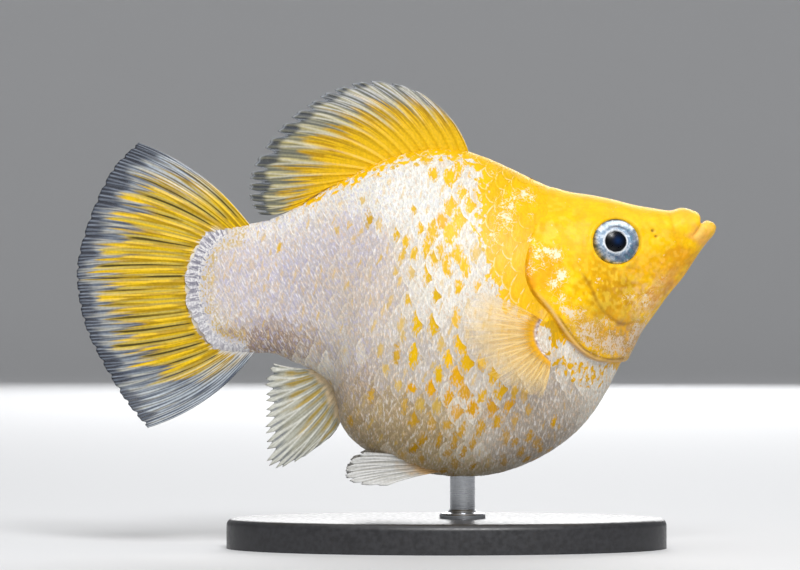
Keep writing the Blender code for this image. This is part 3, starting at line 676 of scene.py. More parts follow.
    def yellow_edge(self, spots: Rows) -> Rows:
        """How far some spots are inside the solid yellow: the shoulder, and under the dorsal fin.

        Args:
            spots: x and z in millimetres, one spot a row.

        Returns:
            Millimetres, above 0 inside, one number for each spot.
        """
        front, _ = Line(YELLOW_EDGE).off(spots)
        back, share = Line(DORSAL_ROOT).off(spots)
        ridge = np.interp(share, (0.0, 0.2, 0.6, 1.0), (1.3, 1.0, 0.9, 0.5)) - np.abs(back)
        inside = np.maximum(front, ridge)
        for x, z, wide, tall, tilt in YELLOW_ISLANDS:
            inside = np.maximum(inside, (1 - in_oval(spots, x, z, wide, tall, tilt)) * tall)
        return inside

    def pale(self, points: Rows) -> Rows:
        """How strongly white flecks break through the yellow, 0 to 1.

        Args:
            points: x, y and z in millimetres, one point a row.

        Returns:
            One number for each point.
        """
        total = np.zeros(len(points))
        for x, z, wide, tall, tilt, weight in FLECKS:
            away = in_oval(points[:, [0, 2]], x, z, wide, tall, tilt)
            total = np.maximum(total, weight * bell(away / 1.25))
        return total

    def ragged(self, points: Rows, size: float = 0.8) -> Rows:
        """Noise about 0 that frays the edges of the patches."""
        return 1.3 * (self.fray.at(points, size) - 0.5) + 0.6 * (self.fray.at(points, size / 2.3) - 0.5)

    def trunk(self, points: Rows) -> Rows:
        """The ground colour of the white flank, with no marks on it.

        Args:
            points: x, y and z in millimetres, one point a row.

        Returns:
            One colour for each point.
        """
        spots, ragged = points[:, [0, 2]], 0.4 * self.ragged(points, 1.6)
        made = Layers(self.cream, len(points))
        for wash in self.trunk_washes():
            wash.lay(made, spots, ragged)
        return made.rows * self.dulled

    def head(self, points: Rows) -> Rows:
        """The colour of the bare head.

        Args:
            points: x, y and z in millimetres, one point a row.

        Returns:
            One colour for each point.
        """
        spots, ragged = points[:, [0, 2]], self.ragged(points)
        made = Layers(self.gold, len(points))
        for wash in self.head_washes():
            wash.lay(made, spots, ragged if wash.wide < 2 else 0.4 * ragged)
        made.rows *= (0.93 + 0.12 * self.grain.at(points, 0.9))[:, None]
        for speckle in self.speckles():
            speckle.lay(made, points, self.fray)
        for stroke in self.strokes():
            stroke.lay(made, spots, 0.5 * ragged)
        # Painted shade: the nostril pits are darkened.
        for nostril_x, nostril_z, radius in Relief.nostrils:
            away = np.hypot(spots[:, 0] - nostril_x, spots[:, 1] - nostril_z)
            made.lay(colour(96, 66, 30), 0.85 * bell(away / radius))
        return made.rows

    def skin(self, points: Rows) -> Rows:
        """The colour of the skin anywhere: the head in front of the gill opening, the trunk behind.

        Args:
            points: x, y and z in millimetres, one point a row.

        Returns:
            One colour for each point.
        """
        spots = points[:, [0, 2]]
        gill, _ = Line(GILL_OPENING).off(spots)
        trunk = self.trunk(points)
        trunk = blended(trunk, self.gold, smooth_step(0.5 + self.yellow_edge(spots) / 1.5))
        return blended(trunk, self.head(points), smooth_step((gill + 0.25) / 0.3))


def linked(name: str, mesh: bpy.types.Mesh, material: bpy.types.Material) -> bpy.types.Object:
    """A new object on the fish's body from a finished mesh.

    Args:
        name: the piece's name.
        mesh: its mesh, in place and in metres.
        material: what it is made of.

    Returns:
        The object, riding on the one body.
    """
    mesh.materials.clear()
    mesh.materials.append(material)
    mesh.shade_smooth()
    obj = bpy.data.objects.new(name, mesh)
    bpy.context.scene.collection.objects.link(obj)
    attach(obj, "root")
    return obj


@dataclass
class Shaped:
    """Where a sheet's corners go, in millimetres, and what is stored at each."""

    points: Rows
    colours: dict[str, Rows] = field(default_factory=dict)
    values: dict[str, Rows] = field(default_factory=dict)

    def store(self, mesh: bpy.types.Mesh) -> None:
        """Moves a mesh's corners and stores the colours and values on it.

        Args:
            mesh: the mesh.
        """
        mesh.vertices.foreach_set("co", (self.points * MM).astype(np.float32).ravel())
        for name, rows in self.colours.items():
            layer = mesh.color_attributes.new(name, "FLOAT_COLOR", "POINT")
            full = np.concatenate((rows, np.ones((len(rows), 1))), axis=1)
            layer.data.foreach_set("color", full.astype(np.float32).ravel())
        for name, numbers in self.values.items():
            layer = mesh.attributes.new(name, "FLOAT", "POINT")
            layer.data.foreach_set("value", np.asarray(numbers, dtype=np.float32))


def corners_of(mesh: bpy.types.Mesh) -> Rows:
    """A mesh's corners as x, y and z, one a row.

    Args:
        mesh: the mesh.

    Returns:
        One point a row.
    """
    flat = np.empty(len(mesh.vertices) * 3, dtype=np.float32)
    mesh.vertices.foreach_get("co", flat)
    return flat.reshape(-1, 3).astype(float)


def draw_map(mesh: bpy.types.Mesh, name: str, places: Rows) -> None:
    """Gives a mesh a UV map from one place for each of its corners.

    Args:
        mesh: the mesh.
        name: its name.
        places: one place for each corner of the mesh.
    """
    layer = mesh.uv_layers.get(name) or mesh.uv_layers.new(name=name)
    numbers = np.empty(len(mesh.loops), dtype=np.int32)
    mesh.loops.foreach_get("vertex_index", numbers)
    layer.data.foreach_set("uv", places[numbers].astype(np.float32).ravel())


def wrapped_sheet(
    name: str,
    columns: int,
    rows: int,
    shape: Callable[[Rows, Rows], Shaped],
) -> bpy.types.Mesh:
    """A flat sheet bent into a closed form, whose meeting edges are merged.

    Args:
        name: the mesh's name.
        columns: faces across the sheet.
        rows: faces up the sheet.
        shape: takes how far across and how far up each corner is, from 0 to 1, and gives
            where it goes.

    Returns:
        The closed mesh, with a UV map of the flat sheet.
    """
    bm = bmesh.new()
    bm.loops.layers.uv.new("OFBake")
    bmesh.ops.create_grid(bm, x_segments=columns, y_segments=rows, size=0.5, calc_uvs=True)
    mesh = bpy.data.meshes.new(name)
    bm.to_mesh(mesh)
    flat = corners_of(mesh) + 0.5
    shape(flat[:, 0], flat[:, 1]).store(mesh)
    bm.clear()
    bm.from_mesh(mesh)
    bmesh.ops.remove_doubles(bm, verts=bm.verts, dist=2e-7)
    bmesh.ops.holes_fill(bm, edges=[edge for edge in bm.edges if edge.is_boundary])
    bmesh.ops.recalc_face_normals(bm, faces=bm.faces)
    bm.to_mesh(mesh)
    bm.free()
    return mesh


def solid(tint: Rows) -> tuple[float, float, float, float]:
    """A colour as a socket takes it."""
    return (float(tint[0]), float(tint[1]), float(tint[2]), 1.0)


class Wiring:
    """A material's nodes while they are put together."""

    def __init__(self, name: str) -> None:
        """Starts a material with its one shader.

        Args:
            name: its name.
        """
        self.material = bpy.data.materials.new(name)
        self.material.use_nodes = True
        self.tree = self.material.node_tree
        self.shader = self.tree.nodes["Principled BSDF"]

    def set(self, **sockets: float | tuple[float, ...]) -> None:
        """Sets numbers and colours on the shader's own sockets, written with _ for a space."""
        for name, value in sockets.items():
            self.shader.inputs[name.replace("_", " ")].default_value = value

    def feed(self, socket: Socket, given: Given) -> None:
        """Gives an input a socket to read, a number or a colour; None leaves it as it is."""
        if isinstance(given, Socket):
            self.tree.links.new(given, socket)
        elif given is not None:
            socket.default_value = solid(given) if isinstance(given, Rows) else given

    def node(self, kind: str, *inputs: Given, **settings: object) -> bpy.types.Node:
        """A new node.

        Args:
            kind: Blender's name of the node, without ShaderNode.
            inputs: what each input in turn is fed.
            settings: the node's own properties.

        Returns:
            The node.
        """
        made = self.tree.nodes.new("ShaderNode" + kind)
        for name, value in settings.items():
            setattr(made, name, value)
        for socket, given in zip(made.inputs, inputs):
            self.feed(socket, given)
        return made

    def join(self, source: Socket, target: str) -> None:
        """Joins a socket to one of the shader's inputs."""
        self.tree.links.new(source, self.shader.inputs[target])

    def in_mm(
        self, size: float | tuple[float, float, float] = 1.0, tilt: float = 0.0
    ) -> Socket:
        """The piece's own coordinates, counted in cells.

        Args:
            size: the width of a cell in millimetres, in all directions or in each.
            tilt: how far the cells are turned in the side view, in degrees.

        Returns:
            The socket of the coordinates.
        """
        sizes = (size,) * 3 if isinstance(size, float) else size
        place = self.node("TexCoord").outputs["Object"]
        turned = self.node("Mapping", place, None, (0.0, math.radians(tilt), 0.0)).outputs[0]
        return self.node("Mapping", turned, None, None, tuple(1 / MM / part for part in sizes)).outputs[0]

    def x_mm(self) -> Socket:
        """How far forward a point is, in millimetres."""
        return self.node("SeparateXYZ", self.in_mm()).outputs[0]

    def z_mm(self) -> Socket:
        """How high a point is, in millimetres."""
        return self.node("SeparateXYZ", self.in_mm()).outputs[2]

    def colours(self, name: str) -> Socket:
        """A colour that is stored on the mesh."""
        return self.node("Attribute", attribute_name=name).outputs["Color"]

    def numbers(self, name: str) -> Socket:
        """A number that is stored on the mesh."""
        return self.node("Attribute", attribute_name=name).outputs["Fac"]

    def noise(self, place: Socket, detail: float = 2.0) -> Socket:
        """Soft noise from 0 to 1 with one cell to each unit of place."""
        return self.node("TexNoise", place, None, 1.0, detail, noise_dimensions="3D").outputs[0]

    def ranged(
        self, value: Given, low: float, high: float, start: Given = 0.0, end: float = 1.0
    ) -> Socket:
        """A number carried smoothly from low to high over to start to end."""
        made = self.node("MapRange", value, low, high, start, end, interpolation_type="SMOOTHSTEP")
        return made.outputs[0]

    def sum(self, operation: str, a: Given, b: Given = None) -> Socket:
        """A sum of one or two numbers or sockets, by the name of Blender's operation."""
        return self.node("Math", a, b, operation=operation).outputs[0]

    def plus(self, a: Given, b: Given) -> Socket:
        """a and b together."""
        return self.sum("ADD", a, b)

    def minus(self, a: Given, b: Given) -> Socket:
        """a less b."""
        return self.sum("SUBTRACT", a, b)

    def times(self, a: Given, b: Given) -> Socket:
        """a times b."""
        return self.sum("MULTIPLY", a, b)

    def toned(self, under: Given, bright: Given, rich: Given = None) -> Socket:
        """A colour made bright times as light, and rich times as strong."""
        return self.node("HueSaturation", None, rich, bright, None, under).outputs[0]

    def mixed(self, share: Given, a: Given, b: Given) -> Socket:
        """Two colours mixed.

        Args:
            share: 0 for the first colour, 1 for the second.
            a: the first colour.
            b: the second colour.

        Returns:
            The socket of the mixed colour.
        """
        made = self.node("Mix", data_type="RGBA")
        for number, given in ((0, share), (6, a), (7, b)):
            self.feed(made.inputs[number], given)
        return made.outputs[2]

    def bump(self, height: Socket, depth: float, strength: float = 1.0) -> None:
        """Gives the shader's surface a fine relief.

        Args:
            height: how high the surface is, from 0 to 1.
            depth: how deep the relief is, in metres.
            strength: how much of it shows.
        """
        made = self.node("Bump")
        for name, given in (("Strength", strength), ("Distance", depth), ("Height", height)):
            self.feed(made.inputs[name], given)
        self.join(made.outputs[0], "Normal")


@dataclass(frozen=True)
class Flecks:
    """The white flecks and fine pale lines that break up the yellow of skin and scales."""

    white: Rows = field(default_factory=lambda: colour(242, 232, 202))
    dusky: Rows = field(default_factory=lambda: colour(206, 188, 168))
    patch: float = 0.80
    lace: float = 0.20
    thread: float = 0.50

    def over(self, wiring: Wiring, under: Socket) -> Socket:
        """A colour with the flecks over it: lacy patches and threads where the number pale is high.

        Args:
            wiring: the material's nodes.
            under: the colour that lies beneath.

        Returns:
            The socket of the colour.
        """
        pale = wiring.numbers("pale")
        broad = wiring.noise(wiring.in_mm(self.patch), 2.0)
        lace = wiring.noise(wiring.in_mm(self.lace), 2.0)
        level = wiring.plus(broad, wiring.ranged(lace, 0.25, 0.75, -0.13, 0.13))
        level = wiring.minus(level, wiring.ranged(pale, 0.0, 1.0, 0.86, 0.42))
        patch = wiring.ranged(level, -0.10, 0.09, 0.0, 0.90)
        vein = wiring.noise(wiring.in_mm(self.thread), 2.5)
        ridge = wiring.sum("ABSOLUTE", wiring.minus(vein, 0.5))
        ridge = wiring.minus(ridge, wiring.ranged(pale, 0.02, 0.9, 0.0, 0.020))
        thread = wiring.ranged(ridge, 0.016, -0.006)
        thread = wiring.times(thread, wiring.ranged(pale, 0.05, 0.35, 0.0, 0.65))
        tint = wiring.mixed(wiring.ranged(wiring.z_mm(), 20.5, 27.5), self.dusky, self.white)
        return wiring.mixed(wiring.sum("MAXIMUM", patch, thread), under, tint)


@dataclass(frozen=True)
class SkinFinish:
    """Wet, faintly mottled skin."""

    name: str = "skin"
    roughness: float = 0.50
    coat: float = 0.05
    mottle: float = 0.06

    def made(self) -> bpy.types.Material:
        """The material."""
        wiring = Wiring(self.name)
        fine = wiring.noise(wiring.in_mm(0.30), 3.0)
        coarse = wiring.noise(wiring.in_mm(1.3), 2.0)
        shade = wiring.ranged(fine, 0.25, 0.75, 1 - self.mottle, 1 + self.mottle)
        drift = wiring.ranged(coarse, 0.3, 0.7, 0.90, 1.06)
        tone = wiring.toned(wiring.colours("hue"), wiring.times(shade, drift))
        wiring.join(Flecks().over(wiring, tone), "Base Color")
        wiring.join(wiring.ranged(fine, 0.2, 0.8, self.roughness - 0.1, self.roughness + 0.1), "Roughness")
        wiring.bump(fine, 0.00006, 0.3)
        wiring.set(Coat_Weight=self.coat, Coat_Roughness=0.2)
        wiring.set(Subsurface_Weight=0.12, Subsurface_Scale=0.0006)
        wiring.set(Subsurface_Radius=(1.0, 0.6, 0.3), IOR=1.42, Specular_IOR_Level=0.16)
        return wiring.material


@dataclass(frozen=True)
class ScaleFinish:
    """A pearly scale with its yellow mark, its streaks, its pale rear edge and painted shade where the scale
    in front overlaps it.

    A scale's own map runs from 0 at its front and its lower edge to 1.
    """

    name: str = "scales"
    roughness: float = 0.42
    streak: tuple[float, float, float] = (0.15, 0.8, 0.60)

    def made(self) -> bpy.types.Material:
        """The material."""
        wiring = Wiring(self.name)
        flat = wiring.node("SeparateXYZ", wiring.node("UVMap", uv_map="Plate").outputs[0]).outputs
        rag = wiring.noise(wiring.in_mm((0.17, 0.3, 0.42)), 3.0)
        streak = self.streaks(wiring)
        # Painted shade: each scale is darker at the front of its visible part, where the scale in front
        # overlaps it, and lighter towards its rear edge; not on the bare nape.
        front_shade = wiring.ranged(wiring.numbers("bare"), 0.0, 1.0, 0.90, 1.03)
        painted_overlap_shade = wiring.ranged(flat[0], 0.45, 0.85, front_shade, 1.03)
        uneven = wiring.times(wiring.ranged(rag, 0.3, 0.7, 0.92, 1.05), painted_overlap_shade)
        yellow = Flecks().over(wiring, wiring.toned(wiring.colours("gold"), uneven))
        marked = wiring.mixed(self.mark(wiring, flat, rag), self.pearl(wiring, streak, painted_overlap_shade), yellow)
        wiring.join(self.tail_root(wiring, self.edged(wiring, marked)), "Base Color")
        rough = wiring.ranged(streak, 0.3, 0.7, self.roughness + 0.12, self.roughness - 0.1)
        wiring.join(rough, "Roughness")
        wiring.bump(streak, 0.00005, 0.5)
        wiring.set(Coat_Weight=0.06, Coat_Roughness=0.25, Subsurface_Weight=0.10, Subsurface_Scale=0.0005)
        wiring.set(Subsurface_Radius=(1.0, 0.8, 0.7), IOR=1.45, Specular_IOR_Level=0.2)
        return wiring.material

    def streaks(self, wiring: Wiring) -> Socket:
        """Fine streaks, which lean one way on the front of the trunk and another way at its rear.

        Args:
            wiring: the material's nodes.

        Returns:
            The socket of the streaks.
        """
        ahead = wiring.ranged(wiring.x_mm(), -9.0, 0.0)
        rear = wiring.noise(wiring.in_mm(self.streak, 26.0), 3.0)
        fore = wiring.noise(wiring.in_mm(self.streak, -8.0), 3.0)
        return wiring.plus(wiring.times(fore, ahead), wiring.times(rear, wiring.minus(1.0, ahead)))

    def mark(
        self, wiring: Wiring, flat: bpy.types.bpy_prop_collection, rag: Socket
    ) -> Socket:
        """Where a scale is yellow: on its own mark, and all over within the solid yellow.

        Args:
            wiring: the material's nodes.
            flat: the parts of the scale's own map.
            rag: fine noise that frays the mark.

        Returns:
            The socket of how yellow it is, from 0 to 1.
        """
        above = wiring.minus(flat[1], wiring.numbers("mark_v"))
        back = wiring.minus(flat[0], wiring.numbers("mark_u"))
        back = wiring.plus(back, wiring.times(above, wiring.numbers("mark_lean")))
        back = wiring.sum("DIVIDE", back, wiring.numbers("mark_wide"))
        above = wiring.sum("DIVIDE", above, wiring.numbers("mark_tall"))
        away = wiring.sum("SQRT", wiring.plus(wiring.times(back, back), wiring.times(above, above)))
        away = wiring.plus(away, wiring.ranged(rag, 0.28, 0.72, -0.6, 0.6))
        spot = wiring.times(wiring.ranged(away, 1.52, 0.46), wiring.numbers("mark_depth"))
        fray = wiring.noise(wiring.in_mm((0.55, 0.55, 0.8)), 3.0)
        front = wiring.plus(wiring.numbers("front"), wiring.ranged(fray, 0.25, 0.75, -1.0, 1.0))
        return wiring.sum("MAXIMUM", spot, wiring.ranged(front, -0.2, 0.3))

    def pearl(
        self, wiring: Wiring, streak: Socket, painted_overlap_shade: Socket
    ) -> Socket:
        """The pale ground of a scale: cool and warm patches, bright streaks and a fine grain.

        Args:
            wiring: the material's nodes.
            streak: the streaks.
            painted_overlap_shade: painted shade, darker at the front of the scale's visible part, where the
                scale in front overlaps it, and lighter towards its rear.

        Returns:
            The socket of the colour.
        """
        grain = wiring.noise(wiring.in_mm((0.10, 0.25, 0.17), 10.0), 2.0)
        tone = wiring.noise(wiring.in_mm((0.20, 0.6, 0.48), 18.0), 2.5)
        high = wiring.ranged(wiring.z_mm(), 11.0, 21.0, 0.25, 1.0)
        cool = wiring.times(wiring.ranged(tone, 0.54, 0.64, 0.0, 0.55), high)
        cool = wiring.times(cool, wiring.ranged(wiring.x_mm(), -5.0, 3.0, 1.0, 0.35))
        lilac = wiring.mixed(cool, wiring.colours("ground"), colour(186, 180, 212))
        warm = wiring.mixed(wiring.ranged(tone, 0.47, 0.37, 0.0, 0.55), lilac, colour(218, 190, 162))
        lit = wiring.mixed(wiring.ranged(streak, 0.52, 0.68, 0.0, 0.5), warm, colour(252, 250, 248))
        bright = wiring.ranged(streak, 0.34, 0.52, 0.90, 1.0)
        bright = wiring.times(bright, wiring.ranged(grain, 0.3, 0.7, 0.90, 1.08))
        return wiring.toned(lit, wiring.times(bright, painted_overlap_shade))

    def edged(self, wiring: Wiring, marked: Socket) -> Socket:
        """A scale with painted shade in a band before its rear edge and a broken pale line along it.

        Args:
            wiring: the material's nodes.
            marked: the scale's colour so far.

        Returns:
            The socket of the colour.
        """
        rim = wiring.numbers("rim")
        broken = wiring.ranged(wiring.noise(wiring.in_mm(0.5), 1.0), 0.40, 0.58, 0.08, 1.0)
        share = wiring.ranged(wiring.numbers("front"), -0.6, 0.6, 0.18, 0.48)
        share = wiring.times(share, wiring.ranged(wiring.z_mm(), 9.0, 19.0, 0.35, 1.0))
        edge = wiring.times(wiring.ranged(rim, 0.89, 0.98), wiring.times(broken, share))
        # Painted shade: a band a little before each scale's rear edge is darkened by up to a tenth; the
        # whole scale is made a little richer.
        painted_shade_before_rim = wiring.times(wiring.ranged(rim, 0.55, 0.80), wiring.ranged(rim, 0.93, 0.84))
        sunk = wiring.toned(marked, wiring.ranged(painted_shade_before_rim, 0.0, 1.0, 1.0, 0.90), 1.05)
        return wiring.mixed(edge, sunk, colour(250, 240, 204))

    def tail_root(self, wiring: Wiring, under: Socket) -> Socket:
        """A colour with the slate comb and the gold specks laid over it where the tail fin begins.

        Args:
            wiring: the material's nodes.
            under: the colour that lies beneath.

        Returns:
            The socket of the colour.
        """
        tail, comb = wiring.numbers("tail"), wiring.numbers("comb")
        specks = wiring.noise(wiring.in_mm((0.20, 0.4, 0.24)), 2.0)
        gold = wiring.times(wiring.ranged(specks, 0.46, 0.60, 0.0, 0.8), wiring.ranged(tail, 3.2, 1.7))
        under = wiring.mixed(gold, under, colour(198, 168, 92))
        fine = wiring.node("CombineXYZ", wiring.times(comb, 5.0), wiring.times(tail, 1.1), 0.0)
        stripe = wiring.noise(fine.outputs[0], 2.0)
        shifted = wiring.plus(comb, wiring.ranged(stripe, 0.3, 0.7, -0.16, 0.16))
        room = wiring.sum("PINGPONG", shifted, 0.5)
        high = wiring.ranged(wiring.z_mm(), 20.0, 27.0, 0.3, 0.75)
        patchy = wiring.plus(room, wiring.ranged(stripe, 0.3, 0.7, -0.2, 0.2))
        frayed = wiring.plus(tail, wiring.ranged(specks, 0.3, 0.7, -0.35, 0.35))
        inner = wiring.times(wiring.ranged(frayed, -0.5, 0.0), wiring.ranged(frayed, 1.2, 0.8))
        dark = wiring.times(wiring.ranged(patchy, 0.14, 0.40), wiring.times(high, inner))
        pale = wiring.mixed(wiring.ranged(specks, 0.4, 0.6), colour(196, 192, 198), colour(228, 226, 226))
        band = wiring.mixed(dark, pale, colour(88, 86, 108))
        begun = wiring.times(wiring.ranged(frayed, 1.7, 1.1), wiring.ranged(comb, 1.5, 5.0))
        return wiring.mixed(begun, under, band)


@dataclass(frozen=True)
class FinFinish:
    """Thin membrane that shows what is behind it where its stored alpha is low."""

    name: str
    roughness: float = 0.4
    veins: float = 0.10

    def made(self) -> bpy.types.Material:
        """The material."""
        wiring = Wiring(self.name)
        fine = wiring.noise(wiring.in_mm(0.25), 2.0)
        bright = wiring.ranged(fine, 0.25, 0.75, 1 - self.veins, 1 + self.veins)
        wiring.join(wiring.toned(wiring.colours("hue"), bright), "Base Color")
        wiring.join(wiring.numbers("cover"), "Alpha")
        wiring.join(wiring.ranged(fine, 0.3, 0.7, self.roughness - 0.08, self.roughness + 0.08), "Roughness")
        wiring.bump(fine, 0.00004, 0.3)
        wiring.set(Coat_Weight=0.05, Coat_Roughness=0.2, IOR=1.4, Specular_IOR_Level=0.3)
        return wiring.material


@dataclass
class Skin:
    """The one skin over head, trunk and tail stalk, from the lips to the root of the tail."""

    body: Body
    relief: Relief
    markings: Markings
    around: int = 320
    low_share: float = 0.46

    def rings(self) -> Rows:
        """The places of the rings: close together on the head and wider apart under the scales."""
        knots = np.linspace(0, len(RIBS) - 1, 2901)
        middle = self.body.surface(knots, np.zeros_like(knots))
        step = np.linalg.norm(np.diff(middle, axis=0), axis=1)
        room = np.interp(middle[1:, 0], (8.0, 13.0, 17.0, 28.0, 31.0), (0.42, 0.17, 0.135, 0.12, 0.10))
        count = np.concatenate(([0.0], np.cumsum(step / room)))
        return np.interp(np.linspace(0, count[-1], round(count[-1]) + 1), count, knots)

    def turns(self, places: Rows) -> Rows:
        """For each ring, the turns of evenly spread corners up the left side.

        Args:
            places: the rings' places along the body.

        Returns:
            One row of turns for each ring.
        """
        samples, lengths = self.body.girth(places)
        low = round(self.around / 2 * self.low_share)
        high = self.around // 2 - low
        rows = []
        for length in lengths:
            down = np.linspace(length[0], 0, low + 1)[:-1]
            up = np.linspace(0, length[-1], high + 1)
            rows.append(np.interp(np.concatenate((down, up)), length, samples))
        return np.array(rows)

    def shape(self, places: Rows, turns: Rows, across: Rows, up: Rows) -> Shaped:
        """How the flat sheet wraps round the rings.

        Args:
            places: each ring's place along the body.
            turns: for each ring, the turns of its corners up the left side.
            across: how far across the flat sheet each corner is, from 0 to 1.
            up: how far up the flat sheet it is, from 0 to 1.

        Returns:
            Where the corners go, their colour, and how much white breaks through it.
        """
        column = np.rint(across * self.around).astype(int)
        ring = np.rint(up * (len(places) - 1)).astype(int)
        mirrored = column > self.around // 2
        column = np.where(mirrored, self.around - column, column)
        place, turn = places[ring], turns[ring, column]
        points = self.body.surface(place, turn)
        out = self.body.outward(place, turn)
        height = self.relief.height(points) - COAT_DEPTH * self.coated(points)
        ends = self.relief.before_tail(points)
        colours, pale = self.markings.skin(points), self.markings.pale(points)
        points = points + out * height[:, None]
        points[:, 1] *= 0.02 + 0.98 * smooth_step((ends + 1.2) / 1.4)
        points[:, 1] *= np.where(mirrored, -1, 1)
        return Shaped(points, {"hue": colours}, {"pale": pale})

    def coated(self, points: Rows) -> Rows:
        """1 where scales lie over the skin, 0 on the bare head.

        Args:
            points: x, y and z in millimetres, one point a row.

        Returns:
            One number for each point.
        """
        gill, _ = self.relief.gill.off(points[:, [0, 2]])
        nape = smooth_step((points[:, 2] - 32.2) / 1.5) * smooth_step((16.4 - points[:, 0]) / 2.2)
        return np.maximum(smooth_step(-gill / 0.3), nape)

    def build(self) -> bpy.types.Object:
        """Makes the skin, which stands for the three nodes of flesh."""
        places = self.rings()
        shape = partial(self.shape, places, self.turns(places))
        mesh = wrapped_sheet("skin", self.around, len(places) - 1, shape)
        piece = linked("skin", mesh, SkinFinish().made())
        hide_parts("head", "trunk", "tail_stalk")
        return piece


def turns_up(levels: Rows, samples: Rows, lengths: Rows) -> Rows:
    """The turns of some levels, each in its own section.

    Args:
        levels: how far round the body they are from its widest point, in millimetres.
        samples: the turns that were sampled in every section.
        lengths: for each section, how far round the samples are.

    Returns:
        One turn for each level.
    """
    return np.array([np.interp(level, line, samples) for level, line in zip(levels, lengths)])


@dataclass
class Plates:
    """The plates of one side, and the corners of the flat shapes that they are made from.

    Each plate has its place along the body, its level round it, its turn and its middle, and
    each corner the number of its plate and how far forward and up on it the corner is.
    """

    place: Rows
    level: Rows
    turn: Rows
    centres: Rows
    number: Rows
    forward: Rows
    upward: Rows


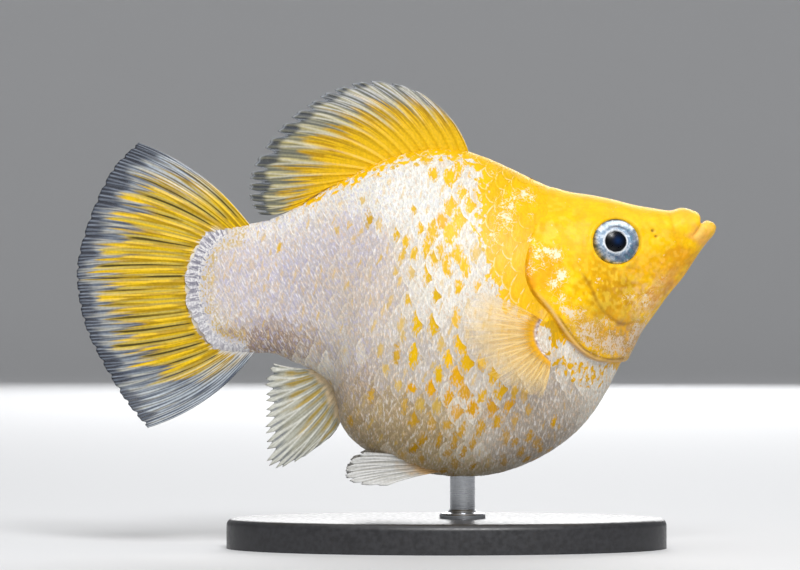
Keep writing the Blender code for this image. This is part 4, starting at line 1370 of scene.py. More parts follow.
@dataclass
class Coat:
    """The scales: thin rounded plates in staggered rows, each lying over the next one behind."""

    body: Body
    relief: Relief
    markings: Markings
    long: float = 1.48
    tall: float = 1.66
    row_step: float = 1.6
    plate_step: float = 1.7
    stalk_share: float = 0.70
    tilt: float = 0.055
    crown: float = 0.012
    thick: float = 0.016
    sunk: float = 0.05
    sides: int = 4
    seed: int = 11

    def fineness(self, place: Rows) -> Rows:
        """How large the scales are along the body, as a share of the trunk's.

        Args:
            place: along the body, from 0 at the tail to 29 at the snout.

        Returns:
            One share for each place.
        """
        place = np.asarray(place, dtype=float)
        rear = self.stalk_share + (1 - self.stalk_share) * smooth_step((place - 1.5) / 7)
        return rear * (1 - 0.28 * smooth_step((place - 13.0) / 4))

    def rows(self) -> tuple[Rows, Rows]:
        """The middles of all plates of the left side.

        Returns:
            Their places along the body, and how far round they are from its widest point.
        """
        places = np.linspace(0.2, 19.5, 1200)
        samples, lengths = self.body.girth(places)
        fine = self.fineness(places)
        found_place, found_round = [], []
        for row in range(-30, 31):
            level = row * self.row_step * fine
            inside = (level > lengths[:, 0] + 0.25) & (level < lengths[:, -1] - 0.25)
            track = self.body.surface(places, turns_up(level, samples, lengths))
            step = np.linalg.norm(np.diff(track, axis=0), axis=1) / fine[1:] / self.plate_step
            count = np.concatenate(([0.0], np.cumsum(step)))
            count -= np.interp(12.0, places, count) + 0.5 * (row % 2)
            numbers = np.arange(math.ceil(count[0]), math.floor(count[-1]) + 1)
            spot = np.interp(numbers, count, places)
            kept = np.interp(spot, places, inside.astype(float)) > 0.5
            found_place.append(spot[kept])
            found_round.append(np.interp(spot[kept], places, level))
        return np.concatenate(found_place), np.concatenate(found_round)

    def scaled(self, centres: Rows) -> Rows:
        """Which plates are kept: behind the gill opening, over the nape and before the tail fin.

        Args:
            centres: the plates' middles in millimetres.

        Returns:
            True for each plate that is kept.
        """
        spots = centres[:, [0, 2]]
        gill, _ = self.relief.gill.off(spots)
        ends = self.relief.before_tail(centres)
        nape = (spots[:, 1] > 33.0 + 0.12 * (spots[:, 0] - 15)) & (spots[:, 0] < 15.2)
        return ((gill < -0.35) | nape) & (ends > 0.15)

    def marks(self, centres: Rows, fine: Rows, random: np.random.Generator) -> dict[str, Rows]:
        """Each plate's yellow mark.

        Args:
            centres: the plates' middles in millimetres.
            fine: how large each plate is.
            random: what scatters the marks.

        Returns:
            Where each mark is on its plate, its half sizes, its lean and how strong it is; the
            plate runs from 0 at its front and its lower edge to 1.
        """
        seen = centres[:, [0, 2]] - np.stack((0.42 * self.long * fine, 0 * fine), axis=1)
        x, z = seen.T
        edge = self.markings.yellow_edge(seen)
        drawn = random.random((6, len(centres)))
        near = bell((x - 0.5) / 5) * bell((z - 28.5) / 6)
        made = {
            "mark_u": 0.73 + 0.16 * (drawn[0] - 0.5),
            "mark_v": 0.5 + 0.3 * (drawn[1] - 0.5),
            "mark_wide": 0.03 + 0.045 * drawn[2],
            "mark_tall": 0.10 + 0.16 * drawn[3],
            "mark_lean": 0.1 + 0.5 * (drawn[5] - 0.5),
            "mark_depth": np.where(drawn[4] < 0.55, 0.2 + 0.4 * drawn[5] + 0.25 * near, 0.0),
            "mark_tone": np.where(edge > -1, Tone.GOLD, Tone.FAINT),
        }
        low = bell((x - 7.0) / 7.0) * bell((z - 13.0) / 4.5) * (edge < 0)
        breast = bell((x - 12.0) / 3.4) * bell((z - 13.5) / 4.0) * (edge < 2)
        for share in (low, breast):
            taken = drawn[4] < 0.9 * share
            made["mark_wide"] = np.where(taken, 0.09 + 0.07 * drawn[2], made["mark_wide"])
            made["mark_tall"] = np.where(taken, 0.16 + 0.14 * drawn[3], made["mark_tall"])
            made["mark_depth"] = np.where(taken, 0.55 + 0.4 * drawn[5], made["mark_depth"])
            made["mark_tone"] = np.where(taken, Tone.GOLD, made["mark_tone"])
        rear = (self.relief.before_tail(centres) < 1.9) & (drawn[4] < 0.75) & (z < 31.0)
        made["mark_wide"] = np.where(rear, 0.06, made["mark_wide"])
        made["mark_depth"] = np.where(rear, 0.3 + 0.3 * drawn[5], made["mark_depth"])
        for mark_x, mark_z, wide, tall, lean, depth, tone in MARKS:
            plate = int(np.argmin(np.hypot(x - mark_x, z - mark_z)))
            long, high = 2 * self.long * fine[plate], 2 * self.tall * fine[plate]
            made["mark_u"][plate] = 0.73 - np.clip((mark_x - x[plate]) / long, -0.14, 0.14)
            made["mark_v"][plate] = 0.5 + np.clip((mark_z - z[plate]) / high, -0.16, 0.16)
            shoulder = np.interp(mark_x, (2.5, 5.0), (0.0, 0.24))
            shoulder = shoulder * np.interp(mark_z, (27.0, 31.0), (0.0, 1.0))
            grown = 0.66 + float(shoulder + np.interp(mark_z, (15.0, 18.0), (0.16, 0.0)))
            made["mark_wide"][plate] = grown * wide / long
            made["mark_tall"][plate] = grown * tall / high
            made["mark_lean"][plate] = math.tan(math.radians(lean)) * self.tall / self.long
            made["mark_depth"][plate] = min(0.55 + 0.5 * depth, 1.0)
            behind = tone == Tone.GOLD and mark_x < 4.5
            made["mark_tone"][plate] = Tone.FAINT if depth <= 0.55 else Tone.FLANK if behind else tone
        return made

    def build(self) -> list[bpy.types.Object]:
        """Makes the scales of each side as one piece."""
        place, level = self.rows()
        turn = turns_up(level, *self.body.girth(place))
        centres = self.body.surface(place, turn)
        kept = self.scaled(centres)
        material = ScaleFinish().made()
        made = []
        for side in Side:
            name = "scales_" + side.word
            mesh = self.plates(name, side, place[kept], level[kept], turn[kept], centres[kept])
            made.append(linked(name, mesh, material))
            mesh.set_sharp_from_angle(angle=math.radians(35))
        return made

    def plates(self, name: str, side: Side, *middles: Rows) -> bpy.types.Mesh:
        """One side's plates as a single mesh of many closed shells.

        Args:
            name: the mesh's name.
            side: the side that the plates are for.
            middles: the place, level, turn and middle point of each plate on the left side.

        Returns:
            The mesh, with the UV maps Plate and OFBake.
        """
        random = np.random.default_rng(self.seed + side.value)
        mesh, plates = self.blanks(name, *middles)
        size = (1 + 0.06 * (random.random(len(plates.place)) - 0.5))[plates.number]
        points = self.laid(plates, size)
        points[:, 1] *= side.value
        self.dressed(plates, points, random).store(mesh)
        self.draw_maps(mesh, plates, side)
        self.thicken(mesh)
        log.info("%s: %d plates, %d faces", name, len(plates.place), len(mesh.polygons))
        return mesh

    def blanks(self, name: str, *middles: Rows) -> tuple[bpy.types.Mesh, Plates]:
        """Flat squares, one for each plate, and their corners moved to a round outline.

        Args:
            name: the mesh's name.
            middles: the place, level, turn and middle point of each plate.

        Returns:
            The mesh of the squares, and the plates.
        """
        count = len(middles[0])
        bm = bmesh.new()
        for _ in range(count):
            bmesh.ops.create_grid(bm, x_segments=self.sides, y_segments=self.sides, size=1.0)
        mesh = bpy.data.meshes.new(name)
        bm.to_mesh(mesh)
        bm.free()
        across, up, _ = corners_of(mesh).T
        forward, upward = across * np.sqrt(1 - up**2 / 2), up * np.sqrt(1 - across**2 / 2)
        number = np.repeat(np.arange(count), (self.sides + 1) ** 2)
        return mesh, Plates(*middles, number, forward, upward)

    def calm(self, centres: Rows) -> Rows:
        """How far plates stand off the body, as a share: less at the head, the gills and the rear.

        Args:
            centres: the plates' middles in millimetres.

        Returns:
            One share for each plate.
        """
        calm = 0.5 + 0.5 * smooth_step((16.5 - centres[:, 0]) / 8)
        calm *= 0.70 + 0.30 * smooth_step((centres[:, 0] + 2.0) / 7)
        gill, _ = self.relief.gill.off(centres[:, [0, 2]])
        return calm * (0.7 + 0.3 * smooth_step((-gill - 0.8) / 4))

    def laid(self, plates: Plates, size: Rows) -> Rows:
        """Lays the plates on the left side, each lifted at its rear.

        Args:
            plates: the plates.
            size: for each corner, how large its plate is beside its neighbours.

        Returns:
            Where the corners go, in millimetres.
        """
        place, number, forward, upward = plates.place, plates.number, plates.forward, plates.upward
        fine, calm = self.fineness(place)[number], self.calm(plates.centres)[number]
        step = 0.02
        ahead = self.body.surface(place + step, plates.turn) - self.body.surface(place - step, plates.turn)
        speed = (np.linalg.norm(ahead, axis=1) / (2 * step))[number]
        spot = place[number] + forward * self.long * fine * size / speed
        high = plates.level[number] + upward * self.tall * fine * size
        _, lengths = self.body.girth(place)
        high = np.clip(high, lengths[:, 0][number] + 0.02, lengths[:, -1][number] - 0.02)
        turn = self.turn_at(spot, high)
        points = self.body.surface(spot, turn)
        lift = self.sunk - COAT_DEPTH + (1 - forward) * self.tilt * fine * calm
        lift += self.crown * calm * (1 - forward**2 - upward**2)
        height = self.relief.height(points, trunk_only=True) + lift
        return points + self.body.outward(spot, turn) * height[:, None]

    def dressed(self, plates: Plates, points: Rows, random: np.random.Generator) -> Shaped:
        """What the finish reads at each corner of the plates.

        Args:
            plates: the plates.
            points: where their corners are, in millimetres.
            random: what scatters the marks and the tones.

        Returns:
            The corners with their colours and numbers.
        """
        centres, number, forward = plates.centres, plates.number, plates.forward
        marks = self.marks(centres, self.fineness(plates.place), random)
        gold = self.gold_at(centres, marks.pop("mark_tone"), random)
        ground = self.markings.trunk(centres) * (0.96 + 0.08 * random.random((len(centres), 1)))
        bare = smooth_step((points[:, 0] - 11.0) / 3.0) * smooth_step((points[:, 2] - 31.0) / 3.0)
        rim = np.hypot(forward, plates.upward) * smooth_step((0.2 - forward) / 0.4) * (1 - 0.3 * bare)
        tail, share = self.relief.tail_root(points)
        values = {name: rows[number] for name, rows in marks.items()}
        values |= {"rim": rim, "bare": bare, "tail": tail, "comb": share * 30.0}
        values["pale"] = self.markings.pale(points)
        values["front"] = np.clip(self.markings.yellow_edge(points[:, [0, 2]]), -3, 3)
        return Shaped(points, {"ground": ground[number], "gold": gold[number]}, values)

    def draw_maps(self, mesh: bpy.types.Mesh, plates: Plates, side: Side) -> None:
        """Draws the map Plate, the same on every plate, and the map OFBake, each plate in its place.

        Args:
            mesh: the mesh of flat plates.
            plates: the plates.
            side: the side that they are for.
        """
        flat = np.stack((plates.forward, plates.upward), axis=1)
        draw_map(mesh, "Plate", 0.5 + flat * (-0.5, 0.5))
        level = 0.02 + (plates.turn / math.pi + 0.5) * 0.46
        home = np.stack((plates.place / (len(RIBS) - 1), 0.5 + side.value * level), axis=1)
        draw_map(mesh, "OFBake", home[plates.number] + flat * 0.0015)

    def thicken(self, mesh: bpy.types.Mesh) -> None:
        """Turns the plates' faces outwards and makes each plate a closed shell.

        Args:
            mesh: the mesh.
        """
        bm = bmesh.new()
        bm.from_mesh(mesh)
        bmesh.ops.recalc_face_normals(bm, faces=bm.faces)
        inward = [face for face in bm.faces if face.normal.y * face.calc_center_median().y < 0]
        bmesh.ops.reverse_faces(bm, faces=inward)
        bmesh.ops.solidify(bm, geom=list(bm.faces), thickness=self.thick * MM)
        bm.to_mesh(mesh)
        bm.free()

    def turn_at(self, place: Rows, level: Rows) -> Rows:
        """The turn of corners that lie level millimetres round the body from its widest point.

        Args:
            place: each corner's place along the body.
            level: its level.

        Returns:
            One turn for each corner.
        """
        last, fine, batch = 20, 20, 4000
        samples, lengths = self.body.girth(np.linspace(0, last, last * fine + 1))
        spot = np.clip(place * fine, 0, last * fine - 0.001)
        low = spot.astype(int)
        share = (spot - low)[:, None]
        turn = np.empty(len(place))
        for start in range(0, len(place), batch):
            part = slice(start, start + batch)
            line = lengths[low[part]] * (1 - share[part]) + lengths[low[part] + 1] * share[part]
            below = np.sum(line < level[part, None], axis=1).clip(1, len(samples) - 1)
            rows = np.arange(len(line))
            a, b = line[rows, below - 1], line[rows, below]
            f = np.clip((level[part] - a) / np.maximum(b - a, 1e-9), 0, 1)
            turn[part] = samples[below - 1] + f * (samples[below] - samples[below - 1])
        return turn

    def gold_at(self, centres: Rows, tone: Rows, random: np.random.Generator) -> Rows:
        """The yellow of each plate: clear above, deeper and browner towards the belly.

        Args:
            centres: the plates' middles in millimetres.
            tone: the Tone of each plate's mark.
            random: what scatters the tones.

        Returns:
            One colour for each plate.
        """
        made = Layers(self.markings.gold, len(centres))
        made.lay(self.markings.deep_gold, smooth_step((21.0 - centres[:, 2]) / 12))
        for one, tint, share in (
            (Tone.ORANGE, colour(228, 152, 14), 0.4),
            (Tone.OLIVE, colour(206, 160, 40), 0.8),
            (Tone.FAINT, colour(222, 184, 84), 0.9),
            (Tone.FLANK, colour(222, 178, 30), 0.6),
        ):
            made.lay(tint, share * (tone == one))
        shaded = smooth_step((centres[:, 0] - 13.5) / 1.0) * smooth_step((23.0 - centres[:, 2]) / 1.0)
        made.lay(colour(222, 166, 34), 0.6 * shaded)
        made.rows *= 0.92 + 0.12 * random.random((len(centres), 1))
        nape = smooth_step((centres[:, 0] - 11) / 2.5) * smooth_step((centres[:, 2] - 31.5) / 1.5)
        made.lay(self.markings.head(centres), nape)
        return made.rows


@dataclass
class Eye:
    """An eye with its silver iris, its white ring and its pupil, under a clear cornea."""

    body: Body
    side: Side
    radius: float = 2.50
    squash: float = 0.955
    depth: float = 1.60
    sink: float = 1.0
    pupil: float = 1.12
    ring: float = 0.19
    gaze: float = -0.13

    # The dark parts of the iris: middle and spread in degrees, and how dark.
    shades: tuple[tuple[float, float, float], ...] = (
        (-25, 42, 0.9),
        (22, 26, 0.8),
        (-92, 24, 0.8),
        (-140, 22, 0.3),
        (165, 20, 0.2),
        (90, 48, 0.35),
    )

    def frame(self) -> tuple[Rows, Rows, Rows]:
        """The eye's middle and its directions forward and up, on the left side.

        Returns:
            The middle in millimetres, and two directions of length 1.
        """
        place, turn = self.body.under(np.array((EYE,)))
        middle, out = self.body.surface(place, turn)[0], self.body.outward(place, turn)[0]
        ahead = np.array((1.0, 0.0, 0.0)) - out * out[0]
        ahead /= np.linalg.norm(ahead)
        above = np.cross(ahead, -out)
        return middle, ahead, above if above[2] > 0 else -above

    def placed(self, right: Rows, up: Rows, height: Rows) -> Rows:
        """Points in millimetres from where they are in the eye.

        Args:
            right: how far forward of the eye's middle they are.
            up: how far above it.
            height: how far out of the skin.

        Returns:
            x, y and z, one point a row.
        """
        middle, ahead, above = self.frame()
        points = middle + right[:, None] * ahead + up[:, None] * above
        points[:, 1] += height
        points[:, 1] *= self.side.value
        return points

    def dome(self, across: Rows, lift: float) -> Rows:
        """The height of the ball over the skin, across being 1 at its rim."""
        return self.depth * np.sqrt(np.clip(1 - across**2, 0, 1)) - self.sink + lift

    def ball(self, turning: Rows, rise: Rows) -> Shaped:
        """The ball: iris, white ring, and the pupil with the lens in it.

        Args:
            turning: how far round the eye's axis each corner is, from 0 to 1.
            rise: how far from the back of the eye to its front it is, from 0 to 1.

        Returns:
            Where the corners go, and their colours.
        """
        angle, polar = turning * math.tau, (1 - rise) * math.pi
        across, front = np.sin(polar), np.cos(polar) >= 0
        right = across * np.cos(angle) * self.radius
        up = across * np.sin(angle) * self.radius * self.squash
        away = np.hypot(right - self.gaze, up / self.squash)
        back = -self.depth * np.abs(np.cos(polar)) - self.sink
        height = np.where(front, self.dome(across, -0.10), back)
        lens = 1 - 0.8 * (1 - np.clip(away / self.pupil, 0, 1) ** 2)
        hollow = 0.16 * (1 - smooth_step((away - self.pupil) / 0.12)) * lens
        height = height - np.where(front, hollow, 0)
        height += np.where(front, 0.05 * bell((away - self.pupil - 0.1) / 0.1), 0)
        return Shaped(self.placed(right, up, height), {"hue": self.tints(right, up / self.squash, front)})

    def tints(self, right: Rows, up: Rows, front: Rows) -> Rows:
        """The colours of the ball, with a painted reflection and a painted shadow along the top of the iris.

        Args:
            right: how far forward of the eye's middle the corners are.
            up: how far up they are.
            front: which of them can be seen.

        Returns:
            One colour for each corner.
        """
        away, angle = np.hypot(right, up), np.degrees(np.arctan2(up, right))
        level = np.zeros_like(up)
        flat = np.stack((right, up, level), axis=1)
        polar = np.stack((angle / 9.0, away * 2.2, level), axis=1)
        grain, fine = Grain(31), Grain(47)
        strands = grain.at(polar, 1.0)
        silver, white, slate = colour(156, 178, 200), colour(246, 250, 255), colour(72, 96, 130)
        made = Layers(silver, len(right))
        made.lay(white, 0.55 * smooth_step((fine.at(flat, 0.20) - 0.54) / 0.12))
        fringe = fine.at(np.stack((angle / 5.0, away * 0.6, level), axis=1), 1.0)
        fringe = smooth_step((fringe - 0.48) / 0.14)
        made.lay(white, 0.75 * fringe * smooth_step((away - 1.75) / 0.25))
        made.lay(slate, 0.3 * (1 - fringe) * smooth_step((away - 1.95) / 0.2))
        dark = np.zeros(len(right))
        for middle, spread, weight in self.shades:
            gap = (angle - middle + 180) % 360 - 180
            dark = np.maximum(dark, weight * bell(gap / spread))
        band = smooth_step((away - 1.36) / 0.2) * smooth_step((2.26 - away) / 0.22)
        slatey = smooth_step((dark * 1.1 + 0.7 * (strands - 0.5) - 0.32) / 0.4) * band
        made.lay(slate, 0.72 * slatey)
        made.lay(colour(100, 152, 168), 0.7 * slatey * smooth_step((fine.at(polar, 0.8) - 0.56) / 0.1))
        above = bell((angle - 90) / 46)
        made.lay(colour(70, 76, 92), 0.9 * above * bell((away - 1.58) / 0.13))
        # Painted reflection: a pale arc over the top of the iris.
        made.lay(colour(236, 244, 238), 0.8 * above * bell((away - 1.98) / 0.2))
        # Painted shadow: a dark line along the very top of the iris, under the rim of the socket.
        made.lay(colour(64, 56, 26), 0.95 * above * smooth_step((away - 2.17) / 0.1))
        away = np.hypot(right - self.gaze, up)
        made.lay(white, smooth_step((self.pupil + self.ring - away) / 0.07))
        made.lay(colour(2, 3, 7), smooth_step((self.pupil - away + 0.02) / 0.06))
        gleam = bell(np.hypot(right - 0.10, up - 0.14) / 0.40)
        made.lay(colour(4, 50, 104), 0.6 * gleam * (away < self.pupil))
        return np.where(front[:, None], made.rows, silver * 0.4)

    def cornea(self, turning: Rows, rise: Rows) -> Shaped:
        """The clear dome over the ball, closed behind it.

        Args:
            turning: how far round the eye's axis each corner is, from 0 to 1.
            rise: how far from the back of the eye to its front it is, from 0 to 1.

        Returns:
            Where the corners go.
        """
        angle, polar = turning * math.tau, (1 - rise) * math.pi
        across, wide = np.sin(polar), self.radius * 0.985
        back = -self.depth * np.abs(np.cos(polar)) * 1.02 - self.sink
        height = np.where(np.cos(polar) >= 0, self.dome(across, 0.0), back)
        right, up = across * np.cos(angle) * wide, across * np.sin(angle) * wide * self.squash
        return Shaped(self.placed(right, up, height))

    def iris_material(self) -> bpy.types.Material:
        """Metallic flakes in the iris and a smooth pupil."""
        wiring = Wiring("iris")
        flakes = wiring.noise(wiring.in_mm(0.12), 2.0)
        bright = wiring.ranged(flakes, 0.3, 0.7, 0.82, 1.16)
        wiring.join(wiring.toned(wiring.colours("hue"), bright), "Base Color")
        wiring.join(wiring.ranged(flakes, 0.3, 0.7, 0.40, 0.55), "Roughness")
        wiring.set(Specular_IOR_Level=0.03)
        return wiring.material

    def cornea_material(self) -> bpy.types.Material:
        """A clear film that only adds the shine of a wet eye."""
        wiring = Wiring("cornea")
        clear = wiring.node("BsdfTransparent").outputs[0]
        shine = wiring.node("BsdfGlossy", (1, 1, 1, 1), 0.20).outputs[0]
        glance = wiring.node("Fresnel", 1.28).outputs[0]
        both = wiring.node("MixShader", glance, clear, shine).outputs[0]
        wiring.feed(wiring.tree.nodes["Material Output"].inputs["Surface"], both)
        wiring.tree.nodes.remove(wiring.shader)
        return wiring.material

    def build(self) -> list[bpy.types.Object]:
        """Makes the ball and the cornea."""
        ball = wrapped_sheet("eyeball_" + self.side.word, 144, 96, self.ball)
        piece = linked("eyeball_" + self.side.word, ball, self.iris_material())
        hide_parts("eye_" + self.side.word)
        cornea = wrapped_sheet("cornea_" + self.side.word, 72, 40, self.cornea)
        return [piece, linked("cornea_" + self.side.word, cornea, self.cornea_material())]


@dataclass(frozen=True)
class Fan:
    """The lines of a fin: rays from a root line to a tip line, branching on the way."""

    rays: int
    root: tuple[tuple[float, float], ...]
    tips: tuple[tuple[float, float], ...]
    bows: tuple[float, float, float]
    notch: tuple[float, float, float]
    sunk: float = 0.06
    foot: float = 0.22
    forks: tuple[float, float] = (0.34, 0.62)
    splay: tuple[float, float] = (0.235, 0.115)
    pointed: float = 0.0

    def line(self, ray: Rows, reach: Rows) -> Rows:
        """The side-view points of rays, ray counting from 0 and reach being 1 at the tips.

        Args:
            ray: where across the fin the points are, counted in rays.
            reach: how far out they are, 1 at the tips.

        Returns:
            x and z in millimetres, one point a row.
        """
        share = (ray + self.foot) / (self.rays - 1 + 2 * self.foot)
        start = spline(np.array(self.root), share * (len(self.root) - 1))
        end = spline(np.array(self.tips), share * (len(self.tips) - 1))
        across = end - start
        bow = np.interp(share, (0.0, 0.5, 1.0), self.bows) * 4 * reach * (1 - reach)
        sideways = np.stack((-across[:, 1], across[:, 0]), axis=1)
        return start + across * reach[:, None] + sideways * bow[:, None]

    def offset(self, ray: Rows) -> Rows:
        """How far a point is from its nearest ray, from -0.5 to 0.5 of the room between rays."""
        return ray - np.clip(np.rint(ray), 0, self.rays - 1)

    def branch(self, ray: Rows, reach: Rows) -> Rows:
        """How far a point is from the nearest branch of its ray, in rooms between rays.

        Args:
            ray: where across the fin the points are, counted in rays.
            reach: how far out they are, 1 at the tips.

        Returns:
            One number for each point.
        """
        away = np.abs(self.offset(ray))
        first = self.splay[0] * smooth_step((reach - self.forks[0]) / 0.5)
        away = np.abs(away - first)
        second = self.splay[1] * smooth_step((reach - self.forks[1]) / 0.4)
        return np.abs(away - second)

    def end(self, ray: Rows) -> Rows:
        """How far out the edge of the fin is at a ray: notched between rays and their branches.

        Args:
            ray: where across the fin the points are, counted in rays.

        Returns:
            One number for each point, 1 at the line of the tips.
        """
        share = np.clip(ray / (self.rays - 1), 0, 1)
        deep = np.interp(share, (0.0, 0.5, 1.0), self.notch)
        away = np.abs(self.offset(ray))
        between = smooth_step((away - 0.24) / 0.26)
        forked = bell(away / 0.10)
        rounded = between + 0.12 * forked
        spiked = np.abs(away - 0.2) / 0.3 * np.where(away < 0.2, 0.9, 1.0)
        return 1 - deep * (rounded + (spiked - rounded) * self.pointed)


@dataclass
class Fin:
    """A fin: a thin sheet with raised rays, thin at its edge."""

    name: str
    fan: Fan
    spread: Callable[[Rows, Rows, Rows], Rows]
    paint: Callable[[Fan, Rows, Rows, Rows], tuple[Rows, Rows]]
    finish: FinFinish
    slot: str
    side: int = 1
    per_ray: int = 12
    rows: int = 56
    root_half: float = 0.34
    tip_half: float = 0.05
    ridge: float = 0.11

    def shape(self, across: Rows, up: Rows) -> Shaped:
        """How the flat sheet becomes the fin: up one face and back down the other.

        Args:
            across: how far across the flat sheet each corner is, from 0 to 1.
            up: how far up they are.

        Returns:
            Where the corners go, their colours and how opaque they are.
        """
        fan = self.fan
        front = across <= 0.5
        share = np.where(front, across * 2, 2 - across * 2)
        ray = -fan.foot + share * (fan.rays - 1 + 2 * fan.foot)
        reach = (up * (1 + fan.sunk) - fan.sunk) * fan.end(ray)
        spots = fan.line(ray, reach)
        rib = bell(fan.branch(ray, reach) / np.interp(reach, (0, 1), (0.17, 0.075)))
        half = self.tip_half + (self.root_half - self.tip_half) * (1 - np.clip(reach, 0, 1)) ** 1.6
        half = half + self.ridge * rib * (1 - 0.62 * np.clip(reach, 0, 1))
        rim = np.minimum(share, 1 - share) * (fan.rays - 1)
        half = half * np.sqrt(np.clip(rim / 0.12, 0, 1)) * np.where((up > 0.9999) | (up < 0.0001), 0.0, 1.0)
        out = self.spread(spots, ray, reach)
        points = np.stack((spots[:, 0], out + np.where(front, -half, half), spots[:, 1]), axis=1)
        hue, cover = self.paint(fan, ray, reach, points)
        points[:, 1] *= self.side
        return Shaped(points, {"hue": hue}, {"cover": cover})

    def build(self) -> bpy.types.Object:
        """Makes the fin, which stands for its node."""
        columns = 2 * round((self.fan.rays - 1 + 2 * self.fan.foot) * self.per_ray)
        mesh = wrapped_sheet(self.name, columns, self.rows, self.shape)
        piece = linked(self.name + "_rays", mesh, self.finish.made())
        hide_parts(self.name)
        log.info("%s: %d faces", self.name, len(mesh.polygons))
        return piece


